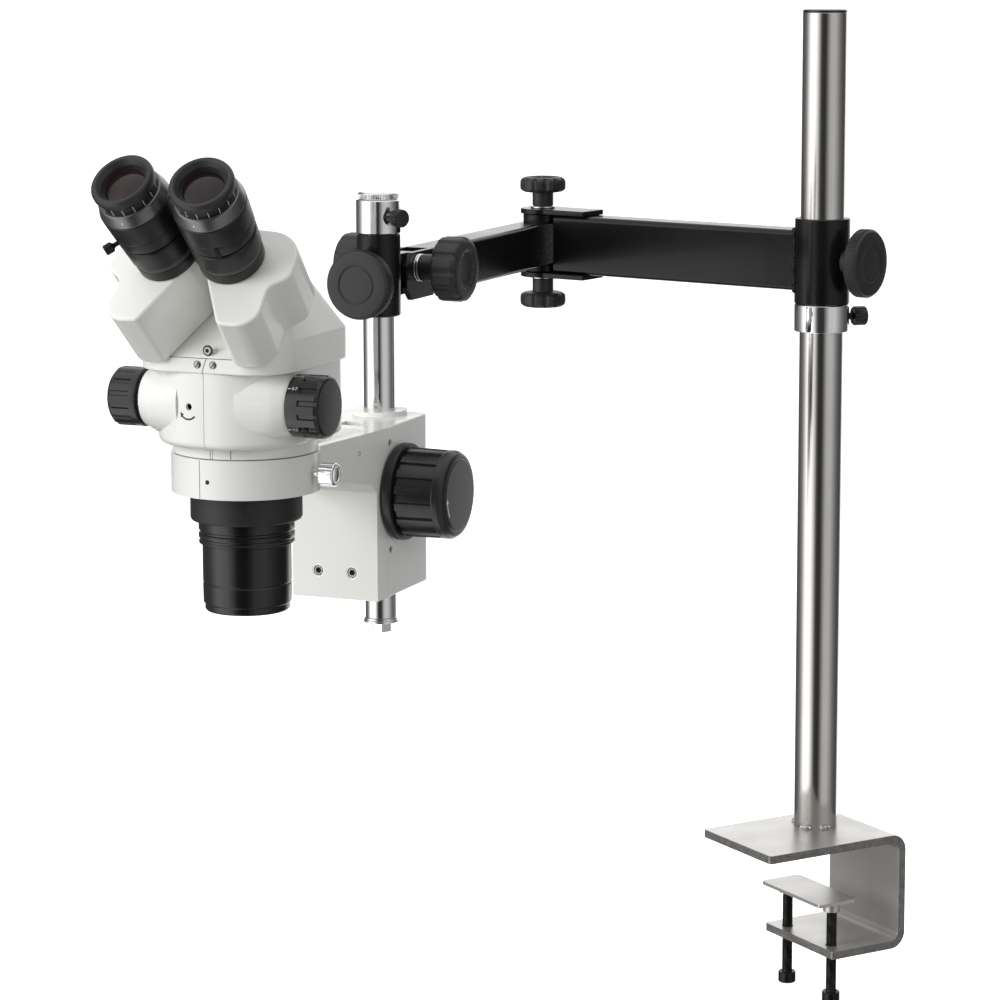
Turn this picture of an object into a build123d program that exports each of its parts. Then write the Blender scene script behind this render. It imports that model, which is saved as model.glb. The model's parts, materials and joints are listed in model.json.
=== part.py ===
"""Stereo microscope on an articulated arm, held to a bench edge by a clamp.

Row frame, in millimetres: the origin is on the post's axis at the underside of the
clamp's top plate, +Z runs up the post and +Y runs from the clamp's mouth to its spine.
Three more frames stand on the elbow and the pillar. In each of them +X is the
operator's right, -Y is the way that part faces and +Z is up.
"""
from build123d import *
from math import atan, cos, pi, radians, sin, tan
import os

# ---- driving dimensions, millimetres and degrees ----
running_gap = 0.05            # radial clearance of a shaft that turns or slides
free_gap = 0.3                # between bodies that pass each other

post_radius = 16.0
post_height = 606.0
plate_thickness = 6.0

rear_arm_reach = 245.0        # post axis to elbow axis
rear_arm_angle = 204.6        # direction of the rear arm, from +X
front_arm_reach = 288.0       # elbow axis to pillar axis
front_arm_angle = -53.9       # direction of the front arm, from +X
head_angle = -52.5            # direction the microscope faces, from +X
arm_level = 425.5             # mid-height of both arms
tilt_level = 431.0            # axis of the fork at the front arm's end

head_reach = 206.0            # pillar axis to objective axis
holder_width = 63.0
housing_bottom = 216.5
housing_top = 333.0
housing_back = 15.0           # behind the pillar axis
housing_front = 57.0          # ahead of the pillar axis

pillar_radius = 11.0
pillar_bottom = 190.0
pillar_top = 482.0
sleeve_bottom = 401.0
sleeve_top = 457.5
tilt_setback = 36.0           # tilt axis behind the pillar axis

focus_axis_ahead = 40.0
focus_axis_level = 287.0
pinion_teeth = 18
pinion_module = 0.7
focus_travel = 20.0           # each way

ring_radius = 47.3
ring_bore_radius = 38.1
ring_bottom = 313.5
ring_top = 338.5

zoom_axis_ahead = 30.0        # ahead of the objective axis
zoom_axis_level = 373.5
body_top = 394.5

eyetube_tilt = 45.0           # above the horizontal
eyetube_splay = 4.1           # each tube, outwards
eyetube_side = 21.6           # tube axis from the middle plane, at the top of its prism housing
eyetube_ahead = 57.0
eyetube_level = 466.0
prism_height = 42.0
swing_axis = (12.0, -22.0)    # prism housing's pivot, from its tube's axis

os.makedirs("parts", exist_ok=True)


# ---- frames ----
def direction(angle):
    """Horizontal unit vector at an angle from +X."""
    return Vector(cos(radians(angle)), sin(radians(angle)), 0)


def station(origin, facing):
    """Frame on the ground plane whose -Y looks along the facing angle."""
    return Plane(origin=(origin.X, origin.Y, 0), x_dir=direction(facing + 90), z_dir=(0, 0, 1))


elbow_origin = direction(rear_arm_angle) * rear_arm_reach
pillar_origin = elbow_origin + direction(front_arm_angle) * front_arm_reach
post_station = Plane.XY
rear_station = station(Vector(0, 0, 0), rear_arm_angle)
elbow_station = station(elbow_origin, front_arm_angle)
tilt_station = station(pillar_origin, front_arm_angle)
focus_station = station(pillar_origin, head_angle)
head_station = station(pillar_origin + direction(head_angle) * head_reach, head_angle)


def level(frame, x=0.0, y=0.0, z=0.0):
    """Horizontal plane through a frame's point, normal up."""
    return Plane(origin=frame.from_local_coords(Vector(x, y, z)), x_dir=frame.x_dir, z_dir=frame.z_dir)


def sideways(frame, x=0.0, y=0.0, z=0.0):
    """Upright plane with its normal to the frame's right; x runs back and y runs up."""
    return Plane(origin=frame.from_local_coords(Vector(x, y, z)), x_dir=frame.y_dir, z_dir=frame.x_dir)


def leftwards(frame, x=0.0, y=0.0, z=0.0):
    """Upright plane with its normal to the frame's left."""
    return Plane(origin=frame.from_local_coords(Vector(x, y, z)), x_dir=-frame.y_dir, z_dir=-frame.x_dir)


def forwards(frame, x=0.0, y=0.0, z=0.0):
    """Upright plane with its normal to the frame's front; x runs right and y runs up."""
    return Plane(origin=frame.from_local_coords(Vector(x, y, z)), x_dir=frame.x_dir, z_dir=-frame.y_dir)


def tube_plane(side, height=0.0, x=0.0, y=0.0):
    """Plane across one eyetube: side is 1 for the right tube and -1 for the left one.

    The height is from the top of the prism housing, along the tube; x runs outwards
    from the middle of the head on the right side, and y runs up the slope.
    """
    splay = radians(eyetube_splay) * side
    tilt = radians(eyetube_tilt)
    along = head_station.x_dir * sin(splay)
    along = along - head_station.y_dir * (cos(splay) * cos(tilt))
    along = along + Vector(0, 0, cos(splay) * sin(tilt))
    across = head_station.x_dir * cos(splay)
    across = across + head_station.y_dir * (sin(splay) * cos(tilt))
    across = across - Vector(0, 0, sin(splay) * sin(tilt))
    base = head_station.from_local_coords(Vector(side * eyetube_side, -eyetube_ahead, eyetube_level))
    plane = Plane(origin=base, x_dir=across, z_dir=along)
    return Plane(origin=plane.from_local_coords(Vector(x, y, height)), x_dir=across, z_dir=along)


# ---- shape helpers, used inside a BuildPart ----
def turn(plane, points, mode=Mode.ADD, angle=360.0):
    """Turned shape about a plane's normal; points are radius and height."""
    profile_plane = Plane(origin=plane.origin, x_dir=plane.x_dir, z_dir=-plane.y_dir)
    with BuildSketch(profile_plane) as profile:
        with BuildLine():
            Polyline(*points, close=True)
        make_face()
    revolve(profile.sketch, axis=Axis(plane.origin, plane.z_dir), revolution_arc=angle, mode=mode)


def rod(plane, radius, length, mode=Mode.ADD):
    """Round bar standing on a plane."""
    with BuildSketch(plane) as profile:
        Circle(radius)
    extrude(profile.sketch, amount=length, mode=mode)


def slab(plane, width, depth, height, mode=Mode.ADD, corner=0.0):
    """Block standing on a plane, centred, with its upright corners rounded."""
    with BuildSketch(plane) as profile:
        if corner > 0:
            RectangleRounded(width, depth, corner)
        else:
            Rectangle(width, depth)
    extrude(profile.sketch, amount=height, mode=mode)


def finish(builder, name):
    """Label a finished piece and write it out."""
    builder.part.label = name
    export_step(builder.part, "parts/" + name + ".step")


# ---- clamp and post ----
plate_centre_x = 12.0
plate_width = 87.0
plate_front = -79.0
plate_back = 42.0
lower_jaw_front = -23.0
throat_depth = 74.0
bend_radius = 12.0
screw_x = (-16.0, 40.0)
screw_y = -13.0
screw_radius = 4.0
pad_top = -39.5
pad_thickness = 2.5
screw_head_top = -109.0

with BuildPart() as clamp_bracket:
    with BuildSketch(sideways(post_station, plate_centre_x - plate_width / 2)):
        with BuildLine():
            Polyline(
                (plate_front, 0),
                (plate_front, plate_thickness),
                (plate_back, plate_thickness),
                (plate_back, -throat_depth - plate_thickness),
                (lower_jaw_front, -throat_depth - plate_thickness),
                (lower_jaw_front, -throat_depth),
                (plate_back - plate_thickness, -throat_depth),
                (plate_back - plate_thickness, 0),
                close=True,
            )
        make_face()
    extrude(amount=plate_width)
    across_edges = clamp_bracket.edges().filter_by(Axis.X)
    bend_edges = across_edges.sort_by(Axis.Y)[-4:]
    fillet(bend_edges.sort_by(Axis.Y)[-2:], bend_radius)
    inner_bends = clamp_bracket.edges().filter_by(Axis.X).filter_by_position(
        Axis.Y, plate_back - plate_thickness - 0.1, plate_back - plate_thickness + 0.1)
    fillet(inner_bends, bend_radius - plate_thickness)
    mouth_corners = clamp_bracket.edges().filter_by(Axis.Z).filter_by_position(
        Axis.Y, plate_front - 1, lower_jaw_front + 1)
    fillet(mouth_corners, 3.0)
    for x in screw_x:
        rod(level(post_station, x, screw_y, -throat_depth - plate_thickness - 1),
            screw_radius + running_gap, plate_thickness + 2, Mode.SUBTRACT)
finish(clamp_bracket, "clamp_bracket")

with BuildPart() as post:
    turn(level(post_station), [
        (post_radius - 2, plate_thickness), (post_radius, plate_thickness),
        (post_radius, post_height - 2), (post_radius - 2, post_height - 2)])
finish(post, "post")

with BuildPart() as post_cap:
    turn(level(post_station, z=post_height - 2), [
        (0, -12), (post_radius - 2.3, -12), (post_radius - 2.1, 0), (post_radius, 0),
        (post_radius, 1.2), (post_radius - 1, 2), (0, 2)])
finish(post_cap, "post_cap")

# ---- clamp's moving jaw ----
nub_radius = 6.5
nub_height = 6.0
tip_radius = 2.6
pad_under = pad_top - pad_thickness

with BuildPart() as clamp_pad:
    slab(level(post_station, plate_centre_x - 1, screw_y, pad_under), 75, 34, pad_thickness, corner=3)
    for x in screw_x:
        rod(level(post_station, x, screw_y, pad_under - nub_height), nub_radius, nub_height)
        rod(level(post_station, x, screw_y, pad_under - nub_height), tip_radius + running_gap,
            nub_height - 1, Mode.SUBTRACT)
finish(clamp_pad, "clamp_pad")

for name, x in zip(("clamp_screw_left", "clamp_screw_right"), screw_x):
    with BuildPart() as clamp_screw:
        shank_top = pad_under - nub_height - 0.2
        turn(level(post_station, x, screw_y, screw_head_top), [
            (0, -8), (6.0, -8), (6.5, -7.5), (6.5, 0), (screw_radius, 0),
            (screw_radius, shank_top - screw_head_top), (tip_radius, shank_top - screw_head_top),
            (tip_radius, shank_top - screw_head_top + 4.5), (0, shank_top - screw_head_top + 4.5)])
        with BuildSketch(level(post_station, x, screw_y, screw_head_top - 8)):
            RegularPolygon(3.4, 6)
        extrude(amount=4.5, mode=Mode.SUBTRACT)
    finish(clamp_screw, name)

# ---- safety collar under the arm's sleeve ----
collar_bottom = 374.5
collar_top = 394.3
arm_sleeve_bottom = 394.6
arm_sleeve_top = 456.5
collar_radius = 20.0


def thumb_screw(plane, head_radius, head_start, head_length, shank_radius, tip):
    """Small screw along a plane's normal: a head beyond its shank, which ends at tip."""
    turn(plane, [
        (0, tip), (shank_radius, tip), (shank_radius, head_start), (head_radius, head_start),
        (head_radius, head_start + head_length - 0.8),
        (head_radius - 0.8, head_start + head_length), (0, head_start + head_length)])


safety_screw_station = station(Vector(0, 0, 0), rear_arm_angle - 130)
safety_screw_level = 384.4
with BuildPart() as safety_collar:
    turn(level(post_station), [
        (post_radius + running_gap, collar_bottom), (collar_radius, collar_bottom),
        (collar_radius, collar_top), (post_radius + running_gap, collar_top)])
    chamfer(safety_collar.edges().filter_by(GeomType.CIRCLE).sort_by(SortBy.RADIUS)[-2:], 0.6)
    rod(forwards(safety_screw_station, 0, -post_radius - 0.3, safety_screw_level), 2.5 + running_gap, 10,
        Mode.SUBTRACT)
finish(safety_collar, "safety_collar")

with BuildPart() as safety_collar_screw:
    thumb_screw(forwards(safety_screw_station, 0, 0, safety_screw_level), 7.0, collar_radius + 4, 10, 2.5,
                post_radius + 0.4)
finish(safety_collar_screw, "safety_collar_screw")

# ---- rear arm ----
tube_half_height = 22.0
rear_tube_width = 25.0
wall = 2.0
lug_thickness = 4.0
lug_radius = 17.0
elbow_bolt_radius = 4.0
barrel_radius = 15.0
lock_station = station(Vector(0, 0, 0), rear_arm_angle + 180)

with BuildPart() as arm_sleeve:
    turn(level(post_station), [
        (post_radius + running_gap, arm_sleeve_bottom), (collar_radius, arm_sleeve_bottom),
        (collar_radius, arm_sleeve_top), (post_radius + running_gap, arm_sleeve_top)])
    chamfer(arm_sleeve.edges().filter_by(GeomType.CIRCLE).sort_by(SortBy.RADIUS)[-2:], 0.8)
    rod(forwards(lock_station, 0, -post_radius - 0.3, arm_level), 4 + running_gap, 10, Mode.SUBTRACT)
finish(arm_sleeve, "arm_sleeve")

with BuildPart() as sleeve_lock_knob:
    turn(forwards(lock_station, 0, 0, arm_level), [
        (0, post_radius + 0.4), (4, post_radius + 0.4), (4, 22), (9, 22), (9, 27), (22, 30),
        (24, 31.5), (24, 39), (22.5, 41), (14, 41), (14, 40.4), (13.3, 40.4), (13.3, 41), (0, 41)])
finish(sleeve_lock_knob, "sleeve_lock_knob")

rear_tube_end = rear_arm_reach - lug_radius - 1.0
with BuildPart() as rear_arm_tube:
    with BuildSketch(forwards(rear_station, 0, -14, arm_level)):
        RectangleRounded(rear_tube_width, 2 * tube_half_height, 4)
        RectangleRounded(rear_tube_width - 2 * wall, 2 * (tube_half_height - wall), 2, mode=Mode.SUBTRACT)
    extrude(amount=rear_tube_end - 14)
    rod(level(post_station, z=arm_level - 40), collar_radius + 0.05, 80, Mode.SUBTRACT)
finish(rear_arm_tube, "rear_arm_tube")

lug_tail = 46.0
with BuildPart() as elbow_lugs:
    for lug_bottom in (arm_level + tube_half_height, arm_level - tube_half_height - lug_thickness):
        with BuildSketch(level(rear_station, 0, -rear_arm_reach, lug_bottom)):
            Circle(lug_radius)
            with Locations((0, lug_tail / 2)):
                Rectangle(2 * lug_radius - 6, lug_tail)
            Circle(elbow_bolt_radius + running_gap, mode=Mode.SUBTRACT)
        extrude(amount=lug_thickness)
finish(elbow_lugs, "elbow_lugs")

# ---- fluted clamping knobs ----
flute_count = 12


def fluted_knob(plane, bore, neck_radius, neck_length, head_radius, head_length):
    """Knob standing on a plane: a neck, then a head with round flutes and a dished face."""
    turn(plane, [
        (bore, 0), (neck_radius, 0), (neck_radius, neck_length), (head_radius - 2, neck_length),
        (head_radius, neck_length + 2), (head_radius, neck_length + head_length - 2),
        (head_radius - 2, neck_length + head_length), (head_radius * 0.55, neck_length + head_length),
        (head_radius * 0.45, neck_length + head_length - 2), (0, neck_length + head_length - 2),
        (0, neck_length), (bore, neck_length)])
    with BuildSketch(plane.offset(neck_length - 0.5)) as flutes:
        with PolarLocations(head_radius + 1.6, flute_count):
            Circle(3.0)
    extrude(flutes.sketch, amount=head_length + 1, mode=Mode.SUBTRACT)


washer_thickness = 1.5
washer_gap = 0.15
knob_bore = elbow_bolt_radius + running_gap
elbow_top = arm_level + tube_half_height + lug_thickness
elbow_bottom = arm_level - tube_half_height - lug_thickness

with BuildPart() as elbow_bolt:
    rod(level(elbow_station, z=elbow_bottom - 12), elbow_bolt_radius, elbow_top - elbow_bottom + 24)
    for washer_bottom in (elbow_top, elbow_bottom - washer_thickness):
        turn(level(elbow_station, z=washer_bottom), [
            (elbow_bolt_radius + 0.02, 0), (9.5, 0), (9.5, washer_thickness),
            (elbow_bolt_radius + 0.02, washer_thickness)])
finish(elbow_bolt, "elbow_bolt")

elbow_neck = 10.5
elbow_head = 11.5
with BuildPart() as elbow_knob_top:
    fluted_knob(level(elbow_station, z=elbow_top + washer_thickness + washer_gap), knob_bore,
                8, elbow_neck, 17.3, elbow_head)
finish(elbow_knob_top, "elbow_knob_top")

with BuildPart() as elbow_knob_bottom:
    under = level(elbow_station, z=elbow_bottom - washer_thickness - washer_gap)
    downwards = Plane(origin=under.origin, x_dir=under.x_dir, z_dir=(0, 0, -1))
    fluted_knob(downwards, knob_bore, 8, elbow_neck, 17.3, elbow_head)
finish(elbow_knob_bottom, "elbow_knob_bottom")

# ---- front arm ----
front_tube_width = 25.0
front_tube_half_height = 16.5
fork_outer = 12.5
cheek_thickness = 4.0
cheek_back = 62.0
cheek_front = 18.5

with BuildPart() as elbow_barrel:
    turn(level(elbow_station), [
        (elbow_bolt_radius + 0.02, arm_level - tube_half_height + 0.2),
        (barrel_radius, arm_level - tube_half_height + 0.2),
        (barrel_radius, arm_level + tube_half_height - 0.2),
        (elbow_bolt_radius + 0.02, arm_level + tube_half_height - 0.2)])
finish(elbow_barrel, "elbow_barrel")

with BuildPart() as front_arm_tube:
    with BuildSketch(forwards(elbow_station, 0, -8, arm_level)):
        RectangleRounded(front_tube_width, 2 * front_tube_half_height, 3)
        RectangleRounded(front_tube_width - 2 * wall, 2 * (front_tube_half_height - wall), 1.2,
                         mode=Mode.SUBTRACT)
    extrude(amount=front_arm_reach - cheek_back - 8)
    rod(level(elbow_station, z=arm_level - 40), barrel_radius + 0.05, 80, Mode.SUBTRACT)
finish(front_arm_tube, "front_arm_tube")

tilt_bolt_radius = 4.0
with BuildPart() as fork_cheeks:
    for side in (-1, 1):
        cheek_x = side * fork_outer - (side + 1) / 2 * cheek_thickness
        with BuildSketch(sideways(tilt_station, cheek_x, 0, arm_level)):
            with BuildLine():
                Polyline(
                    (cheek_front + 9, -front_tube_half_height), (cheek_back, -front_tube_half_height),
                    (cheek_back, front_tube_half_height), (cheek_front + 9, front_tube_half_height),
                    (cheek_front, front_tube_half_height - 9), (cheek_front, 9 - front_tube_half_height),
                    close=True)
            make_face()
            with Locations((tilt_setback, tilt_level - arm_level)):
                Circle(tilt_bolt_radius + running_gap, mode=Mode.SUBTRACT)
        extrude(amount=cheek_thickness)
finish(fork_cheeks, "fork_cheeks")

tilt_knob_inner = fork_outer + 4.0
with BuildPart() as tilt_bolt:
    tilt_axis_plane = sideways(tilt_station, 0, tilt_setback, tilt_level)
    rod(tilt_axis_plane.offset(-23.4), tilt_bolt_radius, 23.4 + 28)
    for start in (-tilt_knob_inner, -fork_outer - 2, fork_outer, fork_outer + 2):
        turn(tilt_axis_plane.offset(start), [
            (tilt_bolt_radius + 0.02, 0.1), (9.5, 0.1), (9.5, 1.9), (tilt_bolt_radius + 0.02, 1.9)])
finish(tilt_bolt, "tilt_bolt")

with BuildPart() as tilt_knob_right:
    fluted_knob(sideways(tilt_station, tilt_knob_inner + washer_gap, tilt_setback, tilt_level), knob_bore,
                9.5, 14, 22.5, 20)
finish(tilt_knob_right, "tilt_knob_right")

with BuildPart() as tilt_knob_left:
    fluted_knob(leftwards(tilt_station, -tilt_knob_inner - washer_gap, tilt_setback, tilt_level), knob_bore,
                9.5, 7, 22.5, 20)
finish(tilt_knob_left, "tilt_knob_left")

# ---- pillar's sleeve, tilting in the fork ----
sleeve_radius = 15.0
tongue_half = fork_outer - cheek_thickness - 0.2
tongue_radius = 11.0
lock_screw_level = 425.0
with BuildPart() as pillar_sleeve:
    rod(level(tilt_station, z=sleeve_bottom), sleeve_radius, sleeve_top - sleeve_bottom)
    chamfer(pillar_sleeve.edges().filter_by(GeomType.CIRCLE), 0.8)
    with BuildSketch(sideways(tilt_station, -tongue_half, 0, tilt_level)) as tongue:
        with Locations((tilt_setback / 2, 0)):
            Rectangle(tilt_setback, 2 * tongue_radius)
        with Locations((tilt_setback, 0)):
            Circle(tongue_radius)
    extrude(tongue.sketch, amount=2 * tongue_half)
    rod(sideways(tilt_station, -20, tilt_setback, tilt_level), tilt_bolt_radius + running_gap, 40,
        Mode.SUBTRACT)
    rod(level(tilt_station, z=sleeve_bottom - 1), pillar_radius + running_gap, 60, Mode.SUBTRACT)
    rod(forwards(tilt_station, 0, -pillar_radius - 0.3, lock_screw_level), 4 + running_gap, 10,
        Mode.SUBTRACT)
finish(pillar_sleeve, "pillar_sleeve")

with BuildPart() as pillar_lock_knob:
    turn(forwards(tilt_station, 0, 0, lock_screw_level), [
        (0, pillar_radius + 0.4), (4, pillar_radius + 0.4), (4, 17.5), (9, 17.5), (9, 21),
        (21, 24), (23, 25.5), (23, 33), (21.5, 35), (11, 35), (11, 34.4), (10.3, 34.4), (10.3, 35),
        (0, 35)])
finish(pillar_lock_knob, "pillar_lock_knob")

# ---- pillar, its stop collar and end fittings ----
stop_collar_bottom = sleeve_top + 0.2
stop_collar_top = 481.0
stop_screw_level = 469.5
stop_screw_station = station(pillar_origin, front_arm_angle + 62)
with BuildPart() as pillar_collar:
    turn(level(tilt_station), [
        (pillar_radius + running_gap, stop_collar_bottom), (sleeve_radius + 0.3, stop_collar_bottom),
        (sleeve_radius + 0.3, stop_collar_top), (pillar_radius + running_gap, stop_collar_top)])
    chamfer(pillar_collar.edges().filter_by(GeomType.CIRCLE).sort_by(SortBy.RADIUS)[-2:], 0.7)
    rod(forwards(stop_screw_station, 0, -pillar_radius - 0.3, stop_screw_level), 2.5 + running_gap, 10,
        Mode.SUBTRACT)
    rod(forwards(stop_screw_station, 0, -sleeve_radius + 1.2, stop_screw_level), 6.2, 4, Mode.SUBTRACT)
finish(pillar_collar, "pillar_collar")

with BuildPart() as pillar_collar_screw:
    thumb_screw(forwards(stop_screw_station, 0, 0, stop_screw_level), 6.2, 19.5, 8.5, 2.5,
                pillar_radius + 0.4)
finish(pillar_collar_screw, "pillar_collar_screw")

with BuildPart() as pillar:
    turn(level(tilt_station), [
        (4.1, pillar_bottom), (pillar_radius - 0.5, pillar_bottom), (pillar_radius, pillar_bottom + 0.5),
        (pillar_radius, stop_collar_top), (9, stop_collar_top), (9, stop_collar_top - 8),
        (4.1, stop_collar_top - 8)])
finish(pillar, "pillar")

with BuildPart() as pillar_cap:
    turn(level(tilt_station, z=stop_collar_top), [
        (0, -8), (8.9, -8), (8.9, 0.1), (13.8, 0.1), (14.2, 0.5), (14.2, 4.2), (13.2, 5.2), (0, 5.2)])
finish(pillar_cap, "pillar_cap")

with BuildPart() as pillar_end_bolt:
    turn(level(tilt_station, z=pillar_bottom), [
        (0, -3.2), (12.3, -3.2), (12.3, -1.6), (11.6, -1.6), (11.6, 0), (4, 0), (4, 20), (0, 20)])
    with BuildSketch(level(tilt_station, z=pillar_bottom - 10.2)):
        RegularPolygon(7.4, 6)
    extrude(amount=7)
finish(pillar_end_bolt, "pillar_end_bolt")

# ---- focus housing on the pillar ----
half_width = holder_width / 2
channel_back = 48.0
channel_mouth_half = 13.0
channel_back_half = 17.0
shaft_radius = 4.0
bearing_radius = 9.0
housing_height = housing_top - housing_bottom

with BuildPart() as focus_housing:
    with BuildSketch(level(focus_station, z=housing_bottom)) as footprint:
        with Locations((0, (housing_back - housing_front) / 2)):
            Rectangle(holder_width, housing_back + housing_front)
        rear_corners = footprint.vertices().sort_by(lambda corner: focus_station.to_local_coords(corner).Y)
        fillet(rear_corners[-2:], 10)
    extrude(amount=housing_height)
    fillet(focus_housing.faces().filter_by(Axis.Z).edges(), 1.2)
    for boss_bottom in (housing_top, housing_bottom - 3):
        with BuildSketch(level(focus_station, z=boss_bottom)) as boss:
            Circle(19)
            with Locations((0, housing_back - 1 - 30)):
                Rectangle(60, 60, mode=Mode.INTERSECT)
        extrude(boss.sketch, amount=3)
    for side in (-1, 1):
        slab(level(focus_station, side * 20, -18, housing_bottom + 6), 12, 38, housing_height - 12,
             Mode.SUBTRACT, corner=3)
    rod(level(focus_station, z=housing_bottom - 4), pillar_radius + running_gap, housing_height + 8,
        Mode.SUBTRACT)
    with BuildSketch(level(focus_station, z=housing_bottom - 1)) as channel:
        with BuildLine():
            Polyline((-channel_mouth_half, -housing_front - 0.5), (-channel_back_half, -channel_back),
                     (channel_back_half, -channel_back), (channel_mouth_half, -housing_front - 0.5),
                     close=True)
        make_face()
    extrude(channel.sketch, amount=housing_height + 2, mode=Mode.SUBTRACT)
    slab(level(focus_station, 0, -45, housing_bottom - 1), 13, 7, housing_height + 2, Mode.SUBTRACT)
    rod(sideways(focus_station, -7, -focus_axis_ahead, focus_axis_level), bearing_radius, 14, Mode.SUBTRACT)
    rod(sideways(focus_station, -40, -focus_axis_ahead, focus_axis_level), shaft_radius + running_gap, 80,
        Mode.SUBTRACT)
    rod(Plane(origin=focus_station.from_local_coords(Vector(0, pillar_radius + 0.2, 308)),
              x_dir=focus_station.x_dir, z_dir=focus_station.y_dir), 3 + 0.02, 10, Mode.SUBTRACT)
    for screw_level in (322.0, 249.0):
        for side in (-1, 1):
            recess = sideways(focus_station, side * (half_width - 2) - 2, -housing_front + 4, screw_level)
            rod(recess, 2.4, 4, Mode.SUBTRACT)
finish(focus_housing, "focus_housing")

with BuildPart() as housing_screws:
    for screw_level in (322.0, 249.0):
        for side in (-1, 1):
            seat = sideways(focus_station, side * (half_width - 2.6) - 1.4, -housing_front + 4, screw_level)
            rod(seat, 2.4, 2.8)
            rod(seat, 1.2, 2.8, Mode.SUBTRACT)
finish(housing_screws, "housing_screws")

with BuildPart() as housing_clamp_screw:
    turn(Plane(origin=focus_station.from_local_coords(Vector(0, 0, 308)), x_dir=focus_station.x_dir,
               z_dir=focus_station.y_dir), [
        (0, pillar_radius + 0.4), (3, pillar_radius + 0.4), (3, housing_back + 0.3),
        (5.5, housing_back + 0.3), (5.5, housing_back + 5), (4.7, housing_back + 6), (0, housing_back + 6)])
finish(housing_clamp_screw, "housing_clamp_screw")

# ---- rack and pinion focus ----
pitch_radius = pinion_teeth * pinion_module / 2
base_radius = pitch_radius * cos(radians(20))
tip_circle = pitch_radius + pinion_module
root_circle = pitch_radius - 1.25 * pinion_module
backlash = 0.12


def involute(radius):
    """Angle, in radians, swept by the involute at a radius."""
    if radius <= base_radius:
        return 0.0
    slope = (radius ** 2 / base_radius ** 2 - 1) ** 0.5
    return slope - atan(slope)


def pinion_outline():
    """Corner points of the pinion, with a gap between teeth facing the rack."""
    half_tooth = pi / 2 / pinion_teeth - backlash / 2 / pitch_radius
    points = []
    radii = [root_circle, base_radius, (base_radius + pitch_radius) / 2, pitch_radius,
             (pitch_radius + tip_circle) / 2, tip_circle]
    for tooth in range(pinion_teeth):
        middle = (tooth + 0.5) * 2 * pi / pinion_teeth
        for radius in radii:
            angle = middle - half_tooth - involute(pitch_radius) + involute(radius)
            points.append((radius * cos(angle), radius * sin(angle)))
        for radius in reversed(radii):
            angle = middle + half_tooth + involute(pitch_radius) - involute(radius)
            points.append((radius * cos(angle), radius * sin(angle)))
    return points


focus_axis_plane = sideways(focus_station, 0, -focus_axis_ahead, focus_axis_level)
with BuildPart() as pinion_shaft:
    rod(focus_axis_plane.offset(-62), shaft_radius, 124)
    with BuildSketch(focus_axis_plane.offset(-5)) as teeth:
        with BuildLine():
            Polyline(*pinion_outline(), close=True)
        make_face()
    extrude(teeth.sketch, amount=10)
finish(pinion_shaft, "pinion_shaft")

rack_pitch_line = -focus_axis_ahead - pitch_radius
rack_low = -60.0              # the rack's ends, from the pinion's level
rack_high = 36.0


def rack_outline():
    """Corner points of the rack in its side view, with a tooth at the pinion's level."""
    pitch = pi * pinion_module
    tip_half = (pitch / 2 - backlash) / 2 - pinion_module * tan(radians(20))
    root_half = (pitch / 2 - backlash) / 2 + 1.25 * pinion_module * tan(radians(20))
    tip_line = rack_pitch_line + pinion_module - 0.05
    root_line = rack_pitch_line - 1.25 * pinion_module
    rack_back = -channel_back - 1.5
    points = [(root_line, rack_low)]
    for tooth in range(int(rack_low / pitch) + 1, int(rack_high / pitch)):
        middle = tooth * pitch
        points.append((root_line, middle - root_half))
        points.append((tip_line, middle - tip_half))
        points.append((tip_line, middle + tip_half))
        points.append((root_line, middle + root_half))
    points.append((root_line, rack_high))
    points.append((rack_back, rack_high))
    points.append((rack_back, rack_low))
    return points


with BuildPart() as focus_rack:
    with BuildSketch(sideways(focus_station, -5, 0, focus_axis_level)) as rack_side:
        with BuildLine():
            Polyline(*rack_outline(), close=True)
        make_face()
    extrude(rack_side.sketch, amount=10)
finish(focus_rack, "focus_rack")

slide_bottom = 219.0
slide_height = 111.0
with BuildPart() as slide_plate:
    with BuildSketch(level(focus_station, z=slide_bottom)) as slide_outline:
        with BuildLine():
            Polyline((-channel_mouth_half + 0.25, -housing_front - 0.3),
                     (-channel_back_half + 0.25, -channel_back - 0.15),
                     (channel_back_half - 0.25, -channel_back - 0.15),
                     (channel_mouth_half - 0.25, -housing_front - 0.3), close=True)
        make_face()
    extrude(slide_outline.sketch, amount=slide_height)
    slab(level(focus_station, 0, -channel_back - 0.75, slide_bottom - 1), 10, 1.5, slide_height + 2,
         Mode.SUBTRACT)
finish(slide_plate, "slide_plate")

# ---- head holder: an upright leg, an arm and the ring ----
leg_front = 75.0
arm_under_back = 298.0
arm_under_front = 311.0
arm_top = 333.0
arm_front_half = 22.5
holder_back = housing_front + 0.3

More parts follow.
